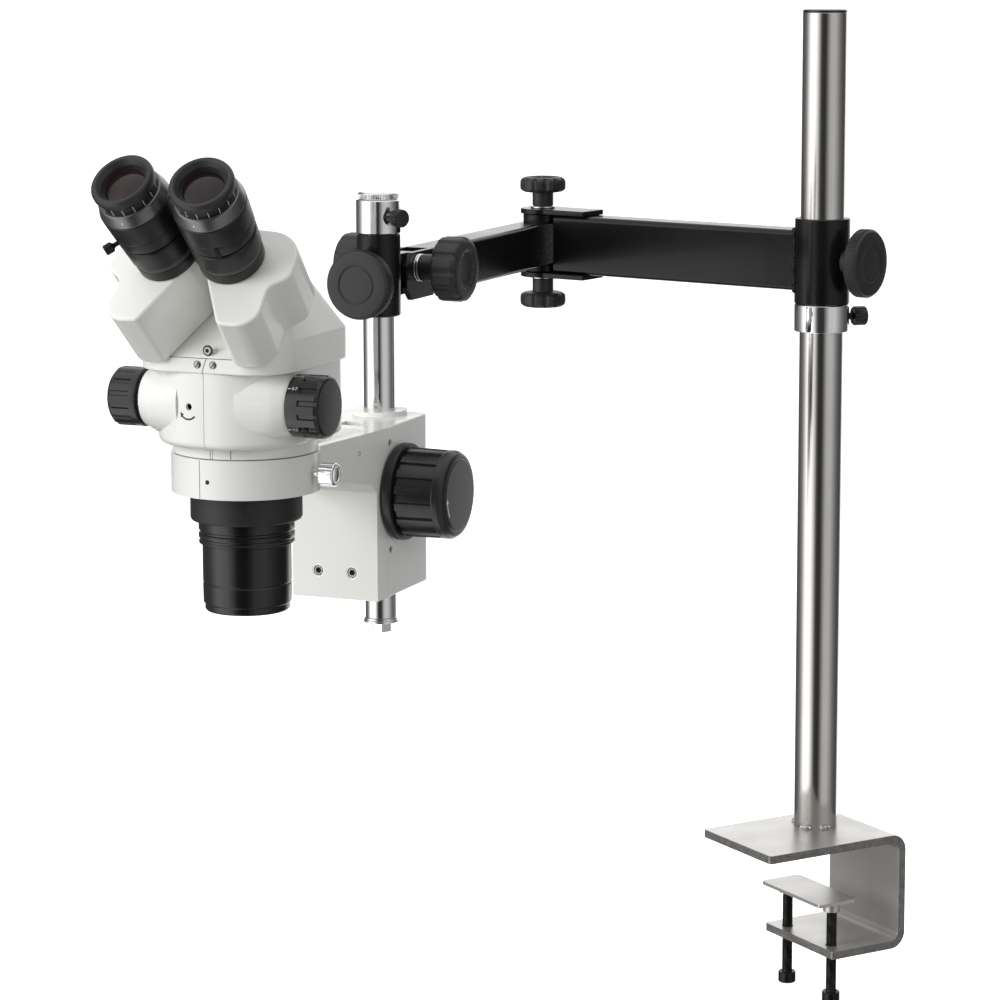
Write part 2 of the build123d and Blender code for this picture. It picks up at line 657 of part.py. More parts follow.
with BuildPart() as head_holder:
    with BuildSketch(level(focus_station, z=housing_bottom + 0.5)) as plan:
        with BuildLine():
            Polyline((-half_width, -holder_back), (-half_width, -leg_front), (-arm_front_half, -153),
                     (-arm_front_half, -175), (arm_front_half, -175), (arm_front_half, -153),
                     (half_width, -leg_front), (half_width, -holder_back), close=True)
        make_face()
    extrude(plan.sketch, amount=arm_top - housing_bottom - 0.5)
    with BuildSketch(sideways(focus_station, -half_width - 1)) as side_view:
        with BuildLine():
            Polyline((-holder_back, housing_bottom + 0.5), (-leg_front, housing_bottom + 0.5),
                     (-leg_front, arm_under_back - 7), (-leg_front - 7, arm_under_back),
                     (-152, arm_under_front), (-160, ring_bottom), (-180, ring_bottom), (-180, arm_top),
                     (-holder_back, arm_top), close=True)
        make_face()
    extrude(side_view.sketch, amount=holder_width + 2, mode=Mode.INTERSECT)
    with BuildSketch(level(focus_station, z=arm_top - 13)) as pocket:
        with BuildLine():
            Polyline((-half_width + 7, -leg_front + 4), (-arm_front_half + 6, -148),
                     (arm_front_half - 6, -148), (half_width - 7, -leg_front + 4), close=True)
        make_face()
        fillet(pocket.vertices(), 5)
    extrude(pocket.sketch, amount=20, mode=Mode.SUBTRACT)
    rod(level(focus_station, 0, -head_reach, ring_bottom), ring_radius, ring_top - ring_bottom)
    rod(level(focus_station, 0, -head_reach, ring_bottom - 10), ring_bore_radius, 60, Mode.SUBTRACT)
    rod(sideways(focus_station, 35, -head_reach, 326), 3 + running_gap, 20, Mode.SUBTRACT)
    for side in (-1, 1):
        rod(forwards(focus_station, side * 12.5, -leg_front + 4, 235.5), 3.5, 10, Mode.SUBTRACT)
finish(head_holder, "head_holder")

with BuildPart() as holder_screws:
    for side in (-1, 1):
        rod(forwards(focus_station, side * 12.5, -leg_front + 4, 235.5), 3.4, 3.4)
        rod(forwards(focus_station, side * 12.5, -leg_front + 1.5, 235.5), 1.5, 3, Mode.SUBTRACT)
finish(holder_screws, "holder_screws")

with BuildPart() as ring_screw:
    thumb_screw(sideways(focus_station, 0, -head_reach, 326), 7.5, ring_radius + 4.2, 12, 3,
                ring_bore_radius + 0.4)
finish(ring_screw, "ring_screw")

# ---- focus knobs ----
collar_start = half_width + 0.3
collar_length = 8.0
barrel_start = collar_start + collar_length + 0.3
knob_face = 77.0


def focus_knob(plane, start, radius):
    """Large focusing knob from its start to its outer face."""
    turn(plane, [
        (shaft_radius + 0.02, start), (radius - 1, start), (radius, start + 1),
        (radius - 1.5, knob_face - 4), (radius - 4.5, knob_face), (0, knob_face), (0, 62.05),
        (shaft_radius + 0.02, 62.05)])


with BuildPart() as tension_collar:
    turn(focus_axis_plane, [
        (shaft_radius + running_gap, collar_start), (31, collar_start), (33, collar_start + 2),
        (33, collar_start + collar_length), (shaft_radius + running_gap, collar_start + collar_length)])
finish(tension_collar, "tension_collar")

with BuildPart() as focus_knob_right:
    focus_knob(focus_axis_plane, barrel_start, 30.5)
finish(focus_knob_right, "focus_knob_right")

with BuildPart() as focus_knob_left:
    focus_knob(leftwards(focus_station, 0, -focus_axis_ahead, focus_axis_level), collar_start, 30.5)
finish(focus_knob_left, "focus_knob_left")

# ---- microscope head: objective ----
mount_top = ring_top + 7
objective_end = 236.0
thread_radius = 24.0          # socket for an auxiliary lens
thread_depth = 6.0
lens_radius = 23.0
with BuildPart() as objective_barrel:
    turn(level(head_station), [
        (26, mount_top), (ring_bore_radius - running_gap, mount_top),
        (ring_bore_radius - running_gap, ring_bottom), (35.6, ring_bottom - 0.5), (35.6, 294.5), (35.1, 294),
        (30.2, 294), (30.2, 287.5), (29.2, 286.5), (29.2, 285), (30.2, 284), (30.2, 281), (29.6, 280),
        (28.3, 280), (28.3, 253.5), (28.0, 253), (28.0, 240.5), (27.0, 240), (27.0, objective_end + 0.6),
        (26.4, objective_end),
        (thread_radius, objective_end), (thread_radius, objective_end + thread_depth),
        (lens_radius, objective_end + thread_depth), (lens_radius, 300), (26, 304)])
finish(objective_barrel, "objective_barrel")

with BuildPart() as objective_lens:
    lens_edge = lens_radius - running_gap
    turn(level(head_station), [(0, 242.5), (lens_edge, 243.5), (lens_edge, 251), (0, 255)])
finish(objective_lens, "objective_lens")

# ---- head body, two cast shells split on the middle plane ----
body_half = 49.5
body_front = 57.0
body_back = 50.0
shell_wall = 3.0
body_base = ring_top + 0.6
skirt_level = ring_top + 7.5  # underside of the wide part, above the turning collar
cone_end = 50.5               # the bosses that carry the zoom knobs
collar_seat_radius = 46.0     # the round foot of the body, just above the holder's ring
seam_gap = 0.2                # each shell's face from the middle plane


def head_outline(height, half, front, back, front_corner, back_corner):
    """Plan outline of the head at a height, with its own radii at the front and the back."""
    with BuildSketch(level(head_station, z=height)) as outline:
        with BuildLine():
            FilletPolyline((-half, back), (-half, -front), (half, -front), (half, back),
                           radius=[back_corner, front_corner, front_corner, back_corner], close=True)
        make_face()
    return outline.sketch


with BuildPart() as head_body:
    plan = head_outline(skirt_level, body_half, body_front, body_back, 45, 16)
    extrude(plan, amount=body_top - skirt_level)
    fillet(head_body.faces().sort_by(Axis.Z)[0].edges(), 5)
    rod(level(head_station, z=body_base), collar_seat_radius, skirt_level - body_base + 6)
    for plane in (sideways(head_station, 0, -zoom_axis_ahead, zoom_axis_level),
                  leftwards(head_station, 0, -zoom_axis_ahead, zoom_axis_level)):
        turn(plane, [(0, 20), (26, 20), (22, 42), (18, cone_end), (0, cone_end)])
    inside = head_outline(skirt_level + 4, body_half - shell_wall, body_front - shell_wall,
                          body_back - shell_wall, 42, 13)
    extrude(inside, amount=body_top - skirt_level, mode=Mode.SUBTRACT)
    rod(level(head_station, z=body_base - 1), ring_bore_radius + 0.02, 20, Mode.SUBTRACT)
    rod(sideways(head_station, -60, -zoom_axis_ahead, zoom_axis_level), 4 + running_gap, 120, Mode.SUBTRACT)
    rod(forwards(head_station, -10.5, -body_front + 6, 373), 2.2, 12, Mode.SUBTRACT)

for name, side in (("body_shell_left", -1), ("body_shell_right", 1)):
    with BuildPart() as shell:
        add(head_body.part)
        slab(level(head_station, side * (100 + seam_gap), 0, body_base - 1), 200, 300,
             body_top - body_base + 1, Mode.INTERSECT)
    finish(shell, name)

# ---- binocular body: base slab with a sloping face for the prism housings ----
flange_half = 52.0
flange_front = 58.5
flange_back = 51.0
lip_top = 414.3
wedge_top = 454.0


def mounting_plane(side, height=0.0):
    """Face that a prism housing stands on."""
    return tube_plane(side, height - prism_height - 1)


with BuildPart() as binocular_body:
    extrude(head_outline(body_top, flange_half, flange_front, flange_back, 27, 14),
            amount=lip_top - body_top)
    wedge_foot = head_outline(lip_top, flange_half, flange_front, flange_back, 27, 14)
    wedge_head = head_outline(wedge_top, 32, 40, 25, 20, 12)
    loft([wedge_foot.faces()[0], wedge_head.faces()[0]])
    for side in (-1, 1):
        plane = mounting_plane(side)
        slab(plane, 300, 300, 80, Mode.SUBTRACT)
    slab(level(head_station, 0, -2, body_top - 1), 70, 70, 12, Mode.SUBTRACT, corner=10)
    for side in (-1, 1):
        pivot = Plane(origin=mounting_plane(side).from_local_coords(
            Vector(side * swing_axis[0], swing_axis[1], 0)), x_dir=mounting_plane(side).x_dir,
            z_dir=mounting_plane(side).z_dir)
        turn(pivot, [(7, -2), (11, -2), (11, 4.5), (7, 4.5)])
        rod(pivot.offset(-12), 7, 12, Mode.SUBTRACT)
finish(binocular_body, "binocular_body")

# ---- prism housings, eyetubes and eyepieces ----
prism_wall = 3.0
prism_half = 7.0


def prism_outline(plane, side, inset=0.0):
    """Kidney-shaped plan of a prism housing, for its right or its left side."""
    with BuildSketch(plane) as outline:
        with BuildLine():
            FilletPolyline((side * 40.5, 24.5), (side * 41, -9.5), (side * 29.5, -17.5), (side * 31, -49.5),
                           (side * 5.5, -49.5), (side * -16.6, -7.5), (side * -15, 26),
                           radius=[22, 9, 8, 14, 5, 8, 10], close=True)
        make_face()
        if inset > 0:
            offset(amount=-inset, mode=Mode.REPLACE)
    return outline.sketch


for name, side in (("right", 1), ("left", -1)):
    floor = mounting_plane(side, 0.7)
    pivot = Plane(origin=floor.from_local_coords(Vector(side * swing_axis[0], swing_axis[1], 0)),
                  x_dir=floor.x_dir, z_dir=floor.z_dir)
    with BuildPart() as prism_housing:
        extrude(prism_outline(floor, side), amount=prism_height + 0.3)
        fillet(prism_housing.faces().sort_by(Axis(floor.origin, floor.z_dir))[-1].edges(), 2.0)
        extrude(prism_outline(floor.offset(prism_wall), side, prism_wall),
                amount=prism_height - 2 * prism_wall, mode=Mode.SUBTRACT)
        rod(pivot.offset(-1), 11 + running_gap, prism_wall + 2, Mode.SUBTRACT)
        rod(tube_plane(side, -prism_wall - 1), 12, prism_wall + 2, Mode.SUBTRACT)
    finish(prism_housing, "prism_housing_" + name)

    with BuildPart() as prisms:
        for x, y in ((0, 0), (17, -33)):
            prism_base = floor.from_local_coords(Vector(side * x, y, prism_wall + 4))
            with BuildSketch(Plane(origin=prism_base, x_dir=floor.y_dir, z_dir=floor.x_dir)) as wedge:
                with BuildLine():
                    Polyline((-prism_half, 0), (prism_half, 0), (prism_half, 2 * prism_half), close=True)
                make_face()
            extrude(wedge.sketch, amount=prism_half, both=True)
    finish(prisms, "prisms_" + name)

    with BuildPart() as eyetube:
        turn(tube_plane(side), [
            (15.05, 0.4), (20.2, 0.4), (20.6, 2), (20.9, 9.2), (21.5, 10.5), (21.9, 26), (21.4, 26.8),
            (15.05, 26.8)])
    finish(eyetube, "eyetube_" + name)

    with BuildPart() as eyepiece:
        turn(tube_plane(side), [
            (12.5, 5), (15.0, 5), (15.0, 27.1), (21.2, 27.1), (21.2, 28.6), (22.3, 29.2), (23.0, 52),
            (20.4, 60.5), (18.6, 60.6), (18.9, 66.2), (20.4, 67.4), (20.4, 71), (19.2, 73), (16.6, 72.6),
            (14.6, 67), (14.2, 65), (12.5, 64)])
    finish(eyepiece, "eyepiece_" + name)

    with BuildPart() as eye_lens:
        turn(tube_plane(side), [(0, 65.1), (14.1, 65.1), (14.1, 66), (8, 67.8), (0, 68.5)])
    finish(eye_lens, "eye_lens_" + name)

# ---- zoom shaft, knobs and lens carriages ----
zoom_shaft_half = 62.0
zoom_face = 73.4

with BuildPart() as zoom_shaft:
    rod(sideways(head_station, -zoom_shaft_half, -zoom_axis_ahead, zoom_axis_level), 4, 2 * zoom_shaft_half)
finish(zoom_shaft, "zoom_shaft")

with BuildPart() as zoom_knob_right:
    turn(sideways(head_station, 0, -zoom_axis_ahead, zoom_axis_level), [
        (4.02, cone_end + 0.5), (19.7, cone_end + 0.5), (19.7, zoom_face - 2.5), (17.2, zoom_face),
        (0, zoom_face), (0, zoom_shaft_half + 0.05), (4.02, zoom_shaft_half + 0.05)])
finish(zoom_knob_right, "zoom_knob_right")

with BuildPart() as zoom_knob_left:
    turn(leftwards(head_station, 0, -zoom_axis_ahead, zoom_axis_level), [
        (4.02, cone_end + 0.4), (16, cone_end + 0.4), (16, 53), (18.7, 53), (18.7, zoom_face - 3),
        (16, zoom_face), (0, zoom_face), (0, zoom_shaft_half + 0.05), (4.02, zoom_shaft_half + 0.05)])
finish(zoom_knob_left, "zoom_knob_left")

for name, carriage_level in (("zoom_carriage_upper", 378.0), ("zoom_carriage_lower", 356.0)):
    with BuildPart() as carriage:
        slab(level(head_station, 0, 10, carriage_level), 62, 30, 4, corner=6)
        for side in (-1, 1):
            turn(level(head_station, side * 14, 10, carriage_level), [(9, 0), (12, 0), (12, 6), (9, 6)])
            rod(level(head_station, side * 14, 10, carriage_level - 1), 9, 8, Mode.SUBTRACT)
    finish(carriage, name)
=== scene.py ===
"""Stereo microscope on a bench-clamp swing arm: its finishes, its fine parts and a plain studio.

Lengths written as plain numbers are millimetres in a part's own frame; MM turns them into metres.
"""
import json
from math import cos, degrees, pi, radians, sin

import bmesh
import bpy
from mathutils import Matrix, Vector


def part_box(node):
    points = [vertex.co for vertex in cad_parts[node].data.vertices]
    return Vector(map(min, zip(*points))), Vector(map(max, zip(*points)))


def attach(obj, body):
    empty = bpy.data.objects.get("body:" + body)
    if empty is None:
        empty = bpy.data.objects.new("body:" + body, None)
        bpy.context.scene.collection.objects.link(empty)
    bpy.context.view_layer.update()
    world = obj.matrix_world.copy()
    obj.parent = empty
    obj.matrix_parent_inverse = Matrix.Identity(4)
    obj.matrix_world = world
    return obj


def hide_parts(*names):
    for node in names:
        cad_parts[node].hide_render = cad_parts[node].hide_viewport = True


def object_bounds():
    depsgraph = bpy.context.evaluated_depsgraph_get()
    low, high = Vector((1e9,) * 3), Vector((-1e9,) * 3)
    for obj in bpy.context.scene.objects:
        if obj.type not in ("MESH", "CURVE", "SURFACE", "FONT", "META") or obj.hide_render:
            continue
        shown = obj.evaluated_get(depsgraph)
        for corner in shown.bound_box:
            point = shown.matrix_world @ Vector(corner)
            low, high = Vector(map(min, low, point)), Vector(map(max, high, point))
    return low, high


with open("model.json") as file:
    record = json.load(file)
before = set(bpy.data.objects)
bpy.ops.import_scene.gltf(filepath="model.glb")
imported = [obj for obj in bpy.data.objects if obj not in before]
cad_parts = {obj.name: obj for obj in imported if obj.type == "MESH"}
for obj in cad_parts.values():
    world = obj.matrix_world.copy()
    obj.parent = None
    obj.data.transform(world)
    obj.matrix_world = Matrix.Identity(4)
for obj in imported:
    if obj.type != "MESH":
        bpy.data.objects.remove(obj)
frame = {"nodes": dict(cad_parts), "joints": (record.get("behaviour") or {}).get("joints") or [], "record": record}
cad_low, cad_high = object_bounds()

MM = 0.001
UP = Vector((0, 0, 1))
nodes = frame["nodes"]
joints = {joint["name"]: joint for joint in frame["joints"]}


# ---- places, read from the joints ----
def joint_point(name):
    return Vector(joints[name]["pos_m"])


def joint_axis(name):
    return Vector(joints[name]["axis"]).normalized()


def standing(origin, along, across):
    """Matrix of a frame at origin whose Z is along and whose X is as near across as it can be."""
    z = along.normalized()
    x = (across - z * across.dot(z)).normalized()
    y = z.cross(x)
    matrix = Matrix((x, y, z)).transposed().to_4x4()
    matrix.translation = origin
    return matrix


def level_unit(vector):
    return Vector((vector.x, vector.y, 0)).normalized()


elbow_point = joint_point("elbow_swing")
pillar_point = joint_point("pillar_swing")
head_point = joint_point("head_swing")
head_right = joint_axis("zoom_turn")
facing = level_unit(head_point - pillar_point)
rear_direction = level_unit(elbow_point)
front_direction = level_unit(pillar_point - elbow_point)

post_frame = Matrix.Identity(4)
head_frame = standing(Vector((head_point.x, head_point.y, 0)), UP, head_right)
pillar_frame = standing(Vector((pillar_point.x, pillar_point.y, 0)), UP, head_right)


def on(matrix, x, y, z):
    """Point of a frame, from millimetres."""
    return matrix @ Vector((x * MM, y * MM, z * MM))


def span(node, origin, axis):
    """Lowest and highest height of a node along an axis through origin, in millimetres."""
    heights = [(vertex.co - origin).dot(axis) for vertex in nodes[node].data.vertices]
    return min(heights) / MM, max(heights) / MM


# ---- finishes ----
def new_material(name):
    material = bpy.data.materials.new(name)
    material.use_nodes = True
    tree = material.node_tree
    return material, tree, tree.nodes["Principled BSDF"]


def add_node(tree, kind, values=(), **settings):
    node = tree.nodes.new(kind)
    for key, value in settings.items():
        setattr(node, key, value)
    for key, value in dict(values).items():
        node.inputs[key].default_value = value
    return node


def noise(tree, vector, scale, detail=3.0, roughness=0.55):
    texture = add_node(tree, "ShaderNodeTexNoise",
                       {"Scale": scale, "Detail": detail, "Roughness": roughness})
    tree.links.new(vector, texture.inputs["Vector"])
    return texture.outputs["Fac"]


def remap(tree, value, low, high, start=0.3, end=0.7):
    ramp = add_node(tree, "ShaderNodeMapRange", {"From Min": start, "From Max": end, "To Min": low,
                                                 "To Max": high})
    tree.links.new(value, ramp.inputs["Value"])
    return ramp.outputs["Result"]


def two_tone(tree, factor, first, second):
    mix = add_node(tree, "ShaderNodeMix", data_type="RGBA")
    mix.inputs[6].default_value = (*first, 1)
    mix.inputs[7].default_value = (*second, 1)
    tree.links.new(factor, mix.inputs[0])
    return mix.outputs[2]


def finish_material(name, colour, other, roughness, metallic=0.0, coat=0.0, patch=25.0, grain=900.0,
                    depth=0.02, stretch=(1, 1, 1), streak=0.0, specular=0.5):
    """Surface with slow colour patches, roughness that varies, and a fine relief.

    colour and other are the two ends of its colour, roughness its two limits, patch and grain the
    scales of the slow and the fine pattern, and stretch squeezes the fine pattern, as for brushing.
    """
    material, tree, shader = new_material(name)
    coordinates = add_node(tree, "ShaderNodeTexCoord").outputs["Object"]
    squeezed = add_node(tree, "ShaderNodeMapping", {"Scale": stretch})
    tree.links.new(coordinates, squeezed.inputs["Vector"])
    slow = noise(tree, coordinates, patch)
    fine = noise(tree, squeezed.outputs["Vector"], grain, 4.0, 0.6)
    tone = remap(tree, slow, 0.0, 1.0)
    if streak > 0:
        blend = add_node(tree, "ShaderNodeMix", {0: streak})
        tree.links.new(tone, blend.inputs[2])
        tree.links.new(remap(tree, fine, 0.0, 1.0), blend.inputs[3])
        tone = blend.outputs[0]
    tree.links.new(two_tone(tree, tone, colour, other), shader.inputs["Base Color"])
    shine = add_node(tree, "ShaderNodeMix", {0: 0.5})
    tree.links.new(remap(tree, slow, *roughness), shine.inputs[2])
    tree.links.new(remap(tree, fine, *roughness), shine.inputs[3])
    tree.links.new(shine.outputs[0], shader.inputs["Roughness"])
    relief = add_node(tree, "ShaderNodeBump", {"Strength": 0.35, "Distance": depth * MM})
    tree.links.new(fine, relief.inputs["Height"])
    tree.links.new(relief.outputs["Normal"], shader.inputs["Normal"])
    shader.inputs["Metallic"].default_value = metallic
    shader.inputs["Coat Weight"].default_value = coat
    shader.inputs["Coat Roughness"].default_value = 0.06
    shader.inputs["Specular IOR Level"].default_value = specular
    return material


def coated_glass(name):
    """Dark optical surface with a faint red-brown bloom."""
    material, tree, shader = new_material(name)
    coordinates = add_node(tree, "ShaderNodeTexCoord").outputs["Object"]
    bloom = two_tone(tree, noise(tree, coordinates, 45.0), (0.004, 0.002, 0.002), (0.016, 0.007, 0.008))
    tree.links.new(bloom, shader.inputs["Base Color"])
    haze = remap(tree, noise(tree, coordinates, 60.0), 0.01, 0.035)
    tree.links.new(haze, shader.inputs["Roughness"])
    shader.inputs["Specular IOR Level"].default_value = 0.4
    shader.inputs["IOR"].default_value = 1.5
    return material


white_paint = finish_material("white_paint", (0.83, 0.83, 0.80), (0.80, 0.80, 0.77), (0.26, 0.36), coat=0.3,
                              patch=14.0, grain=700.0, depth=0.012)
black_gloss = finish_material("black_gloss_paint", (0.004, 0.004, 0.0045), (0.007, 0.007, 0.0075),
                              (0.20, 0.30),
                              coat=0.06, patch=20.0, grain=520.0, depth=0.02, specular=0.28)
charcoal = finish_material("charcoal_plastic", (0.017, 0.017, 0.018), (0.024, 0.024, 0.025), (0.40, 0.52),
                           patch=40.0, grain=1600.0, depth=0.03)
knob_black = finish_material("knob_black_plastic", (0.013, 0.013, 0.013), (0.019, 0.019, 0.0185),
                             (0.26, 0.36),
                             patch=45.0, grain=1300.0, depth=0.015)
dark_satin = finish_material("dark_satin_anodised", (0.014, 0.014, 0.0145), (0.020, 0.020, 0.0205),
                             (0.32, 0.42),
                             metallic=0.25, patch=50.0, grain=1400.0, depth=0.02)
bright_satin = finish_material("bevelled_satin_ring", (0.15, 0.15, 0.155), (0.19, 0.19, 0.195), (0.24, 0.32),
                               metallic=0.85, patch=60.0, grain=1800.0, depth=0.01)
grey_band = finish_material("grey_blasted_band", (0.060, 0.060, 0.061), (0.085, 0.085, 0.086), (0.45, 0.60),
                            metallic=0.3, patch=200.0, grain=2200.0, depth=0.03)
black_plastic = finish_material("black_plastic", (0.007, 0.007, 0.008), (0.012, 0.012, 0.013), (0.22, 0.32),
                                coat=0.15, patch=45.0, grain=1300.0, depth=0.02)
objective_gloss = finish_material("objective_gloss_black", (0.006, 0.006, 0.0065), (0.010, 0.010, 0.011),
                                  (0.20, 0.28),
                                  metallic=0.3, coat=0.4, patch=30.0, grain=900.0, depth=0.008)
objective_texture = finish_material("objective_textured_black", (0.008, 0.008, 0.009), (0.022, 0.022, 0.024),
                                    (0.42, 0.56), patch=160.0, grain=1500.0, depth=0.09, streak=0.5)
chrome = finish_material("chrome_plate", (0.86, 0.86, 0.87), (0.80, 0.80, 0.81), (0.05, 0.11), metallic=1.0,
                         patch=35.0, grain=600.0, depth=0.006)
post_steel = finish_material("brushed_post_steel", (0.72, 0.70, 0.68), (0.64, 0.62, 0.60), (0.12, 0.20),
                             metallic=1.0, patch=18.0, grain=420.0, depth=0.010, stretch=(1, 1, 14),
                             streak=0.35)
clamp_steel = finish_material("satin_clamp_steel", (0.62, 0.60, 0.58), (0.50, 0.49, 0.47), (0.26, 0.38),
                              metallic=0.70, patch=30.0, grain=500.0, depth=0.01, stretch=(0.6, 5, 5),
                              streak=0.3)
cut_steel = finish_material("rough_cut_steel", (0.10, 0.095, 0.09), (0.42, 0.41, 0.39), (0.38, 0.58),
                            metallic=0.85, patch=240.0, grain=1100.0, depth=0.22, streak=0.6)
weld_metal = finish_material("bright_weld", (0.80, 0.79, 0.77), (0.34, 0.33, 0.32), (0.14, 0.38),
                             metallic=1.0,
                             patch=500.0, grain=1500.0, depth=0.10)
black_oxide = finish_material("oiled_black_oxide", (0.010, 0.010, 0.010), (0.030, 0.029, 0.028),
                              (0.26, 0.42),
                              metallic=0.7, patch=120.0, grain=1400.0, depth=0.03)
# Painted shade: near-black finish for the floor of holes, sockets and slots, standing in for the shade inside
# them.
painted_recess_shade = finish_material("painted_recess_shade", (0.004, 0.004, 0.004), (0.008, 0.008, 0.008), (0.5, 0.7),
                              grain=1500.0)
screw_steel = finish_material("small_screw_steel", (0.46, 0.46, 0.45), (0.32, 0.32, 0.31), (0.18, 0.34),
                              metallic=1.0, patch=200.0, grain=1500.0, depth=0.02)
machined_steel = finish_material("machined_steel", (0.55, 0.55, 0.54), (0.45, 0.45, 0.44), (0.20, 0.32),
                                 metallic=1.0,
                                 patch=60.0, grain=1200.0, depth=0.02, stretch=(3, 3, 0.4), streak=0.4)
machined_brass = finish_material("machined_brass", (0.62, 0.45, 0.18), (0.52, 0.36, 0.14), (0.20, 0.32),
                                 metallic=1.0,
                                 patch=60.0, grain=1200.0, depth=0.02)
white_ink = finish_material("white_ink", (0.80, 0.80, 0.78), (0.70, 0.70, 0.68), (0.45, 0.60), grain=2500.0,
                            patch=300.0, depth=0.01)
black_ink = finish_material("black_ink", (0.006, 0.006, 0.006), (0.012, 0.012, 0.012), (0.40, 0.55),
                            grain=2500.0,
                            patch=300.0, depth=0.01)
seam_shadow = finish_material("seam_shadow", (0.030, 0.030, 0.029), (0.060, 0.060, 0.058), (0.55, 0.70),
                              grain=2500.0,
                              patch=120.0, depth=0.01)
optical_glass = coated_glass("coated_optical_glass")


# ---- meshes ----
def eased(points, radius, closed=False, steps=3):
    """Outline with its corners rounded, from (x, y) points in millimetres."""
    corners = [Vector(point) for point in points]
    count = len(corners)
    outline = []
    for index, corner in enumerate(corners):
        if not closed and index in (0, count - 1):
            outline.append(corner)
            continue
        before = corners[index - 1] - corner
        after = corners[(index + 1) % count] - corner
        start = corner + before.normalized() * min(radius, before.length * 0.4)
        end = corner + after.normalized() * min(radius, after.length * 0.4)
        for step in range(steps + 1):
            t = step / steps
            outline.append(start * (1 - t) ** 2 + corner * 2 * t * (1 - t) + end * t * t)
    return outline


def hexagon(angle):
    """Radius of a hexagon of unit inner radius."""
    return 1 / cos((angle + pi / 6) % (pi / 3) - pi / 6)


def turned(points, segments=96, closed=False, cut=None, shapes=()):
    """Mesh turned about Z from (radius, height) points in millimetres.

    cut is a span of heights that the flutes may reach, kept as a value on the vertices. shapes
    pairs a test on the height with a function of the angle that scales the radius there.
    """
    mesh = bmesh.new()
    reach = mesh.verts.layers.float.new("cut")
    rings = []
    for radius, height in points:
        if radius < 1e-6:
            rings.append([mesh.verts.new((0, 0, height * MM))])
            continue
        ring = []
        for step in range(segments):
            angle = 2 * pi * step / segments
            size = radius * MM
            for wanted, shape in shapes:
                if wanted(radius, height):
                    size *= shape(angle)
            ring.append(mesh.verts.new((size * cos(angle), size * sin(angle), height * MM)))
        rings.append(ring)
        if cut and cut[0] <= height <= cut[1]:
            for vertex in ring:
                vertex[reach] = 1.0
    pairs = list(zip(rings, rings[1:]))
    if closed:
        pairs.append((rings[-1], rings[0]))
    for first, second in pairs:
        for step in range(max(len(first), len(second))):
            following = (step + 1) % segments
            corners = [first[step % len(first)], first[following % len(first)],
                       second[following % len(second)], second[step % len(second)]]
            corners = list(dict.fromkeys(corners))
            if len(corners) > 2:
                mesh.faces.new(corners)
    bmesh.ops.recalc_face_normals(mesh, faces=mesh.faces)
    return mesh_data(mesh, "turned")


def mesh_data(mesh, name):
    data = bpy.data.meshes.new(name)
    mesh.to_mesh(data)
    mesh.free()
    return data


def shade(data, angle=34):
    """Smooth shading, kept crisp where faces meet at more than the angle in degrees."""
    data.polygons.foreach_set("use_smooth", [True] * len(data.polygons))
    data.set_sharp_from_angle(angle=radians(angle))


def piece(name, data, place, body, material=None, replaces=(), angle=34):
    """Finished piece from mesh data in its own frame, riding on a body."""
    data.transform(place)
    if place.determinant() < 0:
        data.flip_normals()
    if material is not None:
        data.materials.clear()
        data.materials.append(material)
    if angle:
        shade(data, angle)
    data.name = name
    made = bpy.data.objects.new(name, data)
    bpy.context.scene.collection.objects.link(made)
    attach(made, body)
    if replaces:
        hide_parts(*replaces)
    return made


def joined(*parts):
    """One mesh from several (mesh data, material) pairs, each keeping its own material."""
    whole = bmesh.new()
    materials = []
    for data, material in parts:
        if material not in materials:
            materials.append(material)
        first = len(whole.faces)
        whole.from_mesh(data)
        whole.faces.ensure_lookup_table()
        for face in whole.faces[first:]:
            face.material_index = materials.index(material)
    data = mesh_data(whole, "joined")
    for material in materials:
        data.materials.append(material)
    return data


# ---- node trees that repeat or carve a shape ----
def new_tree(name, **sockets):
    """Geometry Nodes tree with a geometry input, a geometry output and named inputs."""
    kinds = {int: "NodeSocketInt", float: "NodeSocketFloat", Vector: "NodeSocketVector",
             bpy.types.Material: "NodeSocketMaterial"}
    tree = bpy.data.node_groups.new(name, "GeometryNodeTree")
    tree.interface.new_socket("Geometry", in_out="INPUT", socket_type="NodeSocketGeometry")
    for label, kind in sockets.items():
        tree.interface.new_socket(label, in_out="INPUT", socket_type=kinds[kind])
    tree.interface.new_socket("Material", in_out="INPUT", socket_type="NodeSocketMaterial")
    tree.interface.new_socket("Geometry", in_out="OUTPUT", socket_type="NodeSocketGeometry")
    return tree, tree.nodes.new("NodeGroupInput"), tree.nodes.new("NodeGroupOutput")


def math_node(tree, operation, first, second=None):
    node = add_node(tree, "ShaderNodeMath", operation=operation)
    for index, value in enumerate((first, second)):
        if isinstance(value, (int, float)):
            node.inputs[index].default_value = value
        elif value is not None:
            tree.links.new(value, node.inputs[index])
    return node.outputs[0]


def realized(tree, instances, entry, result):
    """Ends a tree: real geometry with the material set."""
    real = tree.nodes.new("GeometryNodeRealizeInstances")
    painted = tree.nodes.new("GeometryNodeSetMaterial")
    tree.links.new(instances, real.inputs["Geometry"])
    tree.links.new(real.outputs["Geometry"], painted.inputs["Geometry"])
    tree.links.new(entry.outputs["Material"], painted.inputs["Material"])
    tree.links.new(painted.outputs["Geometry"], result.inputs["Geometry"])


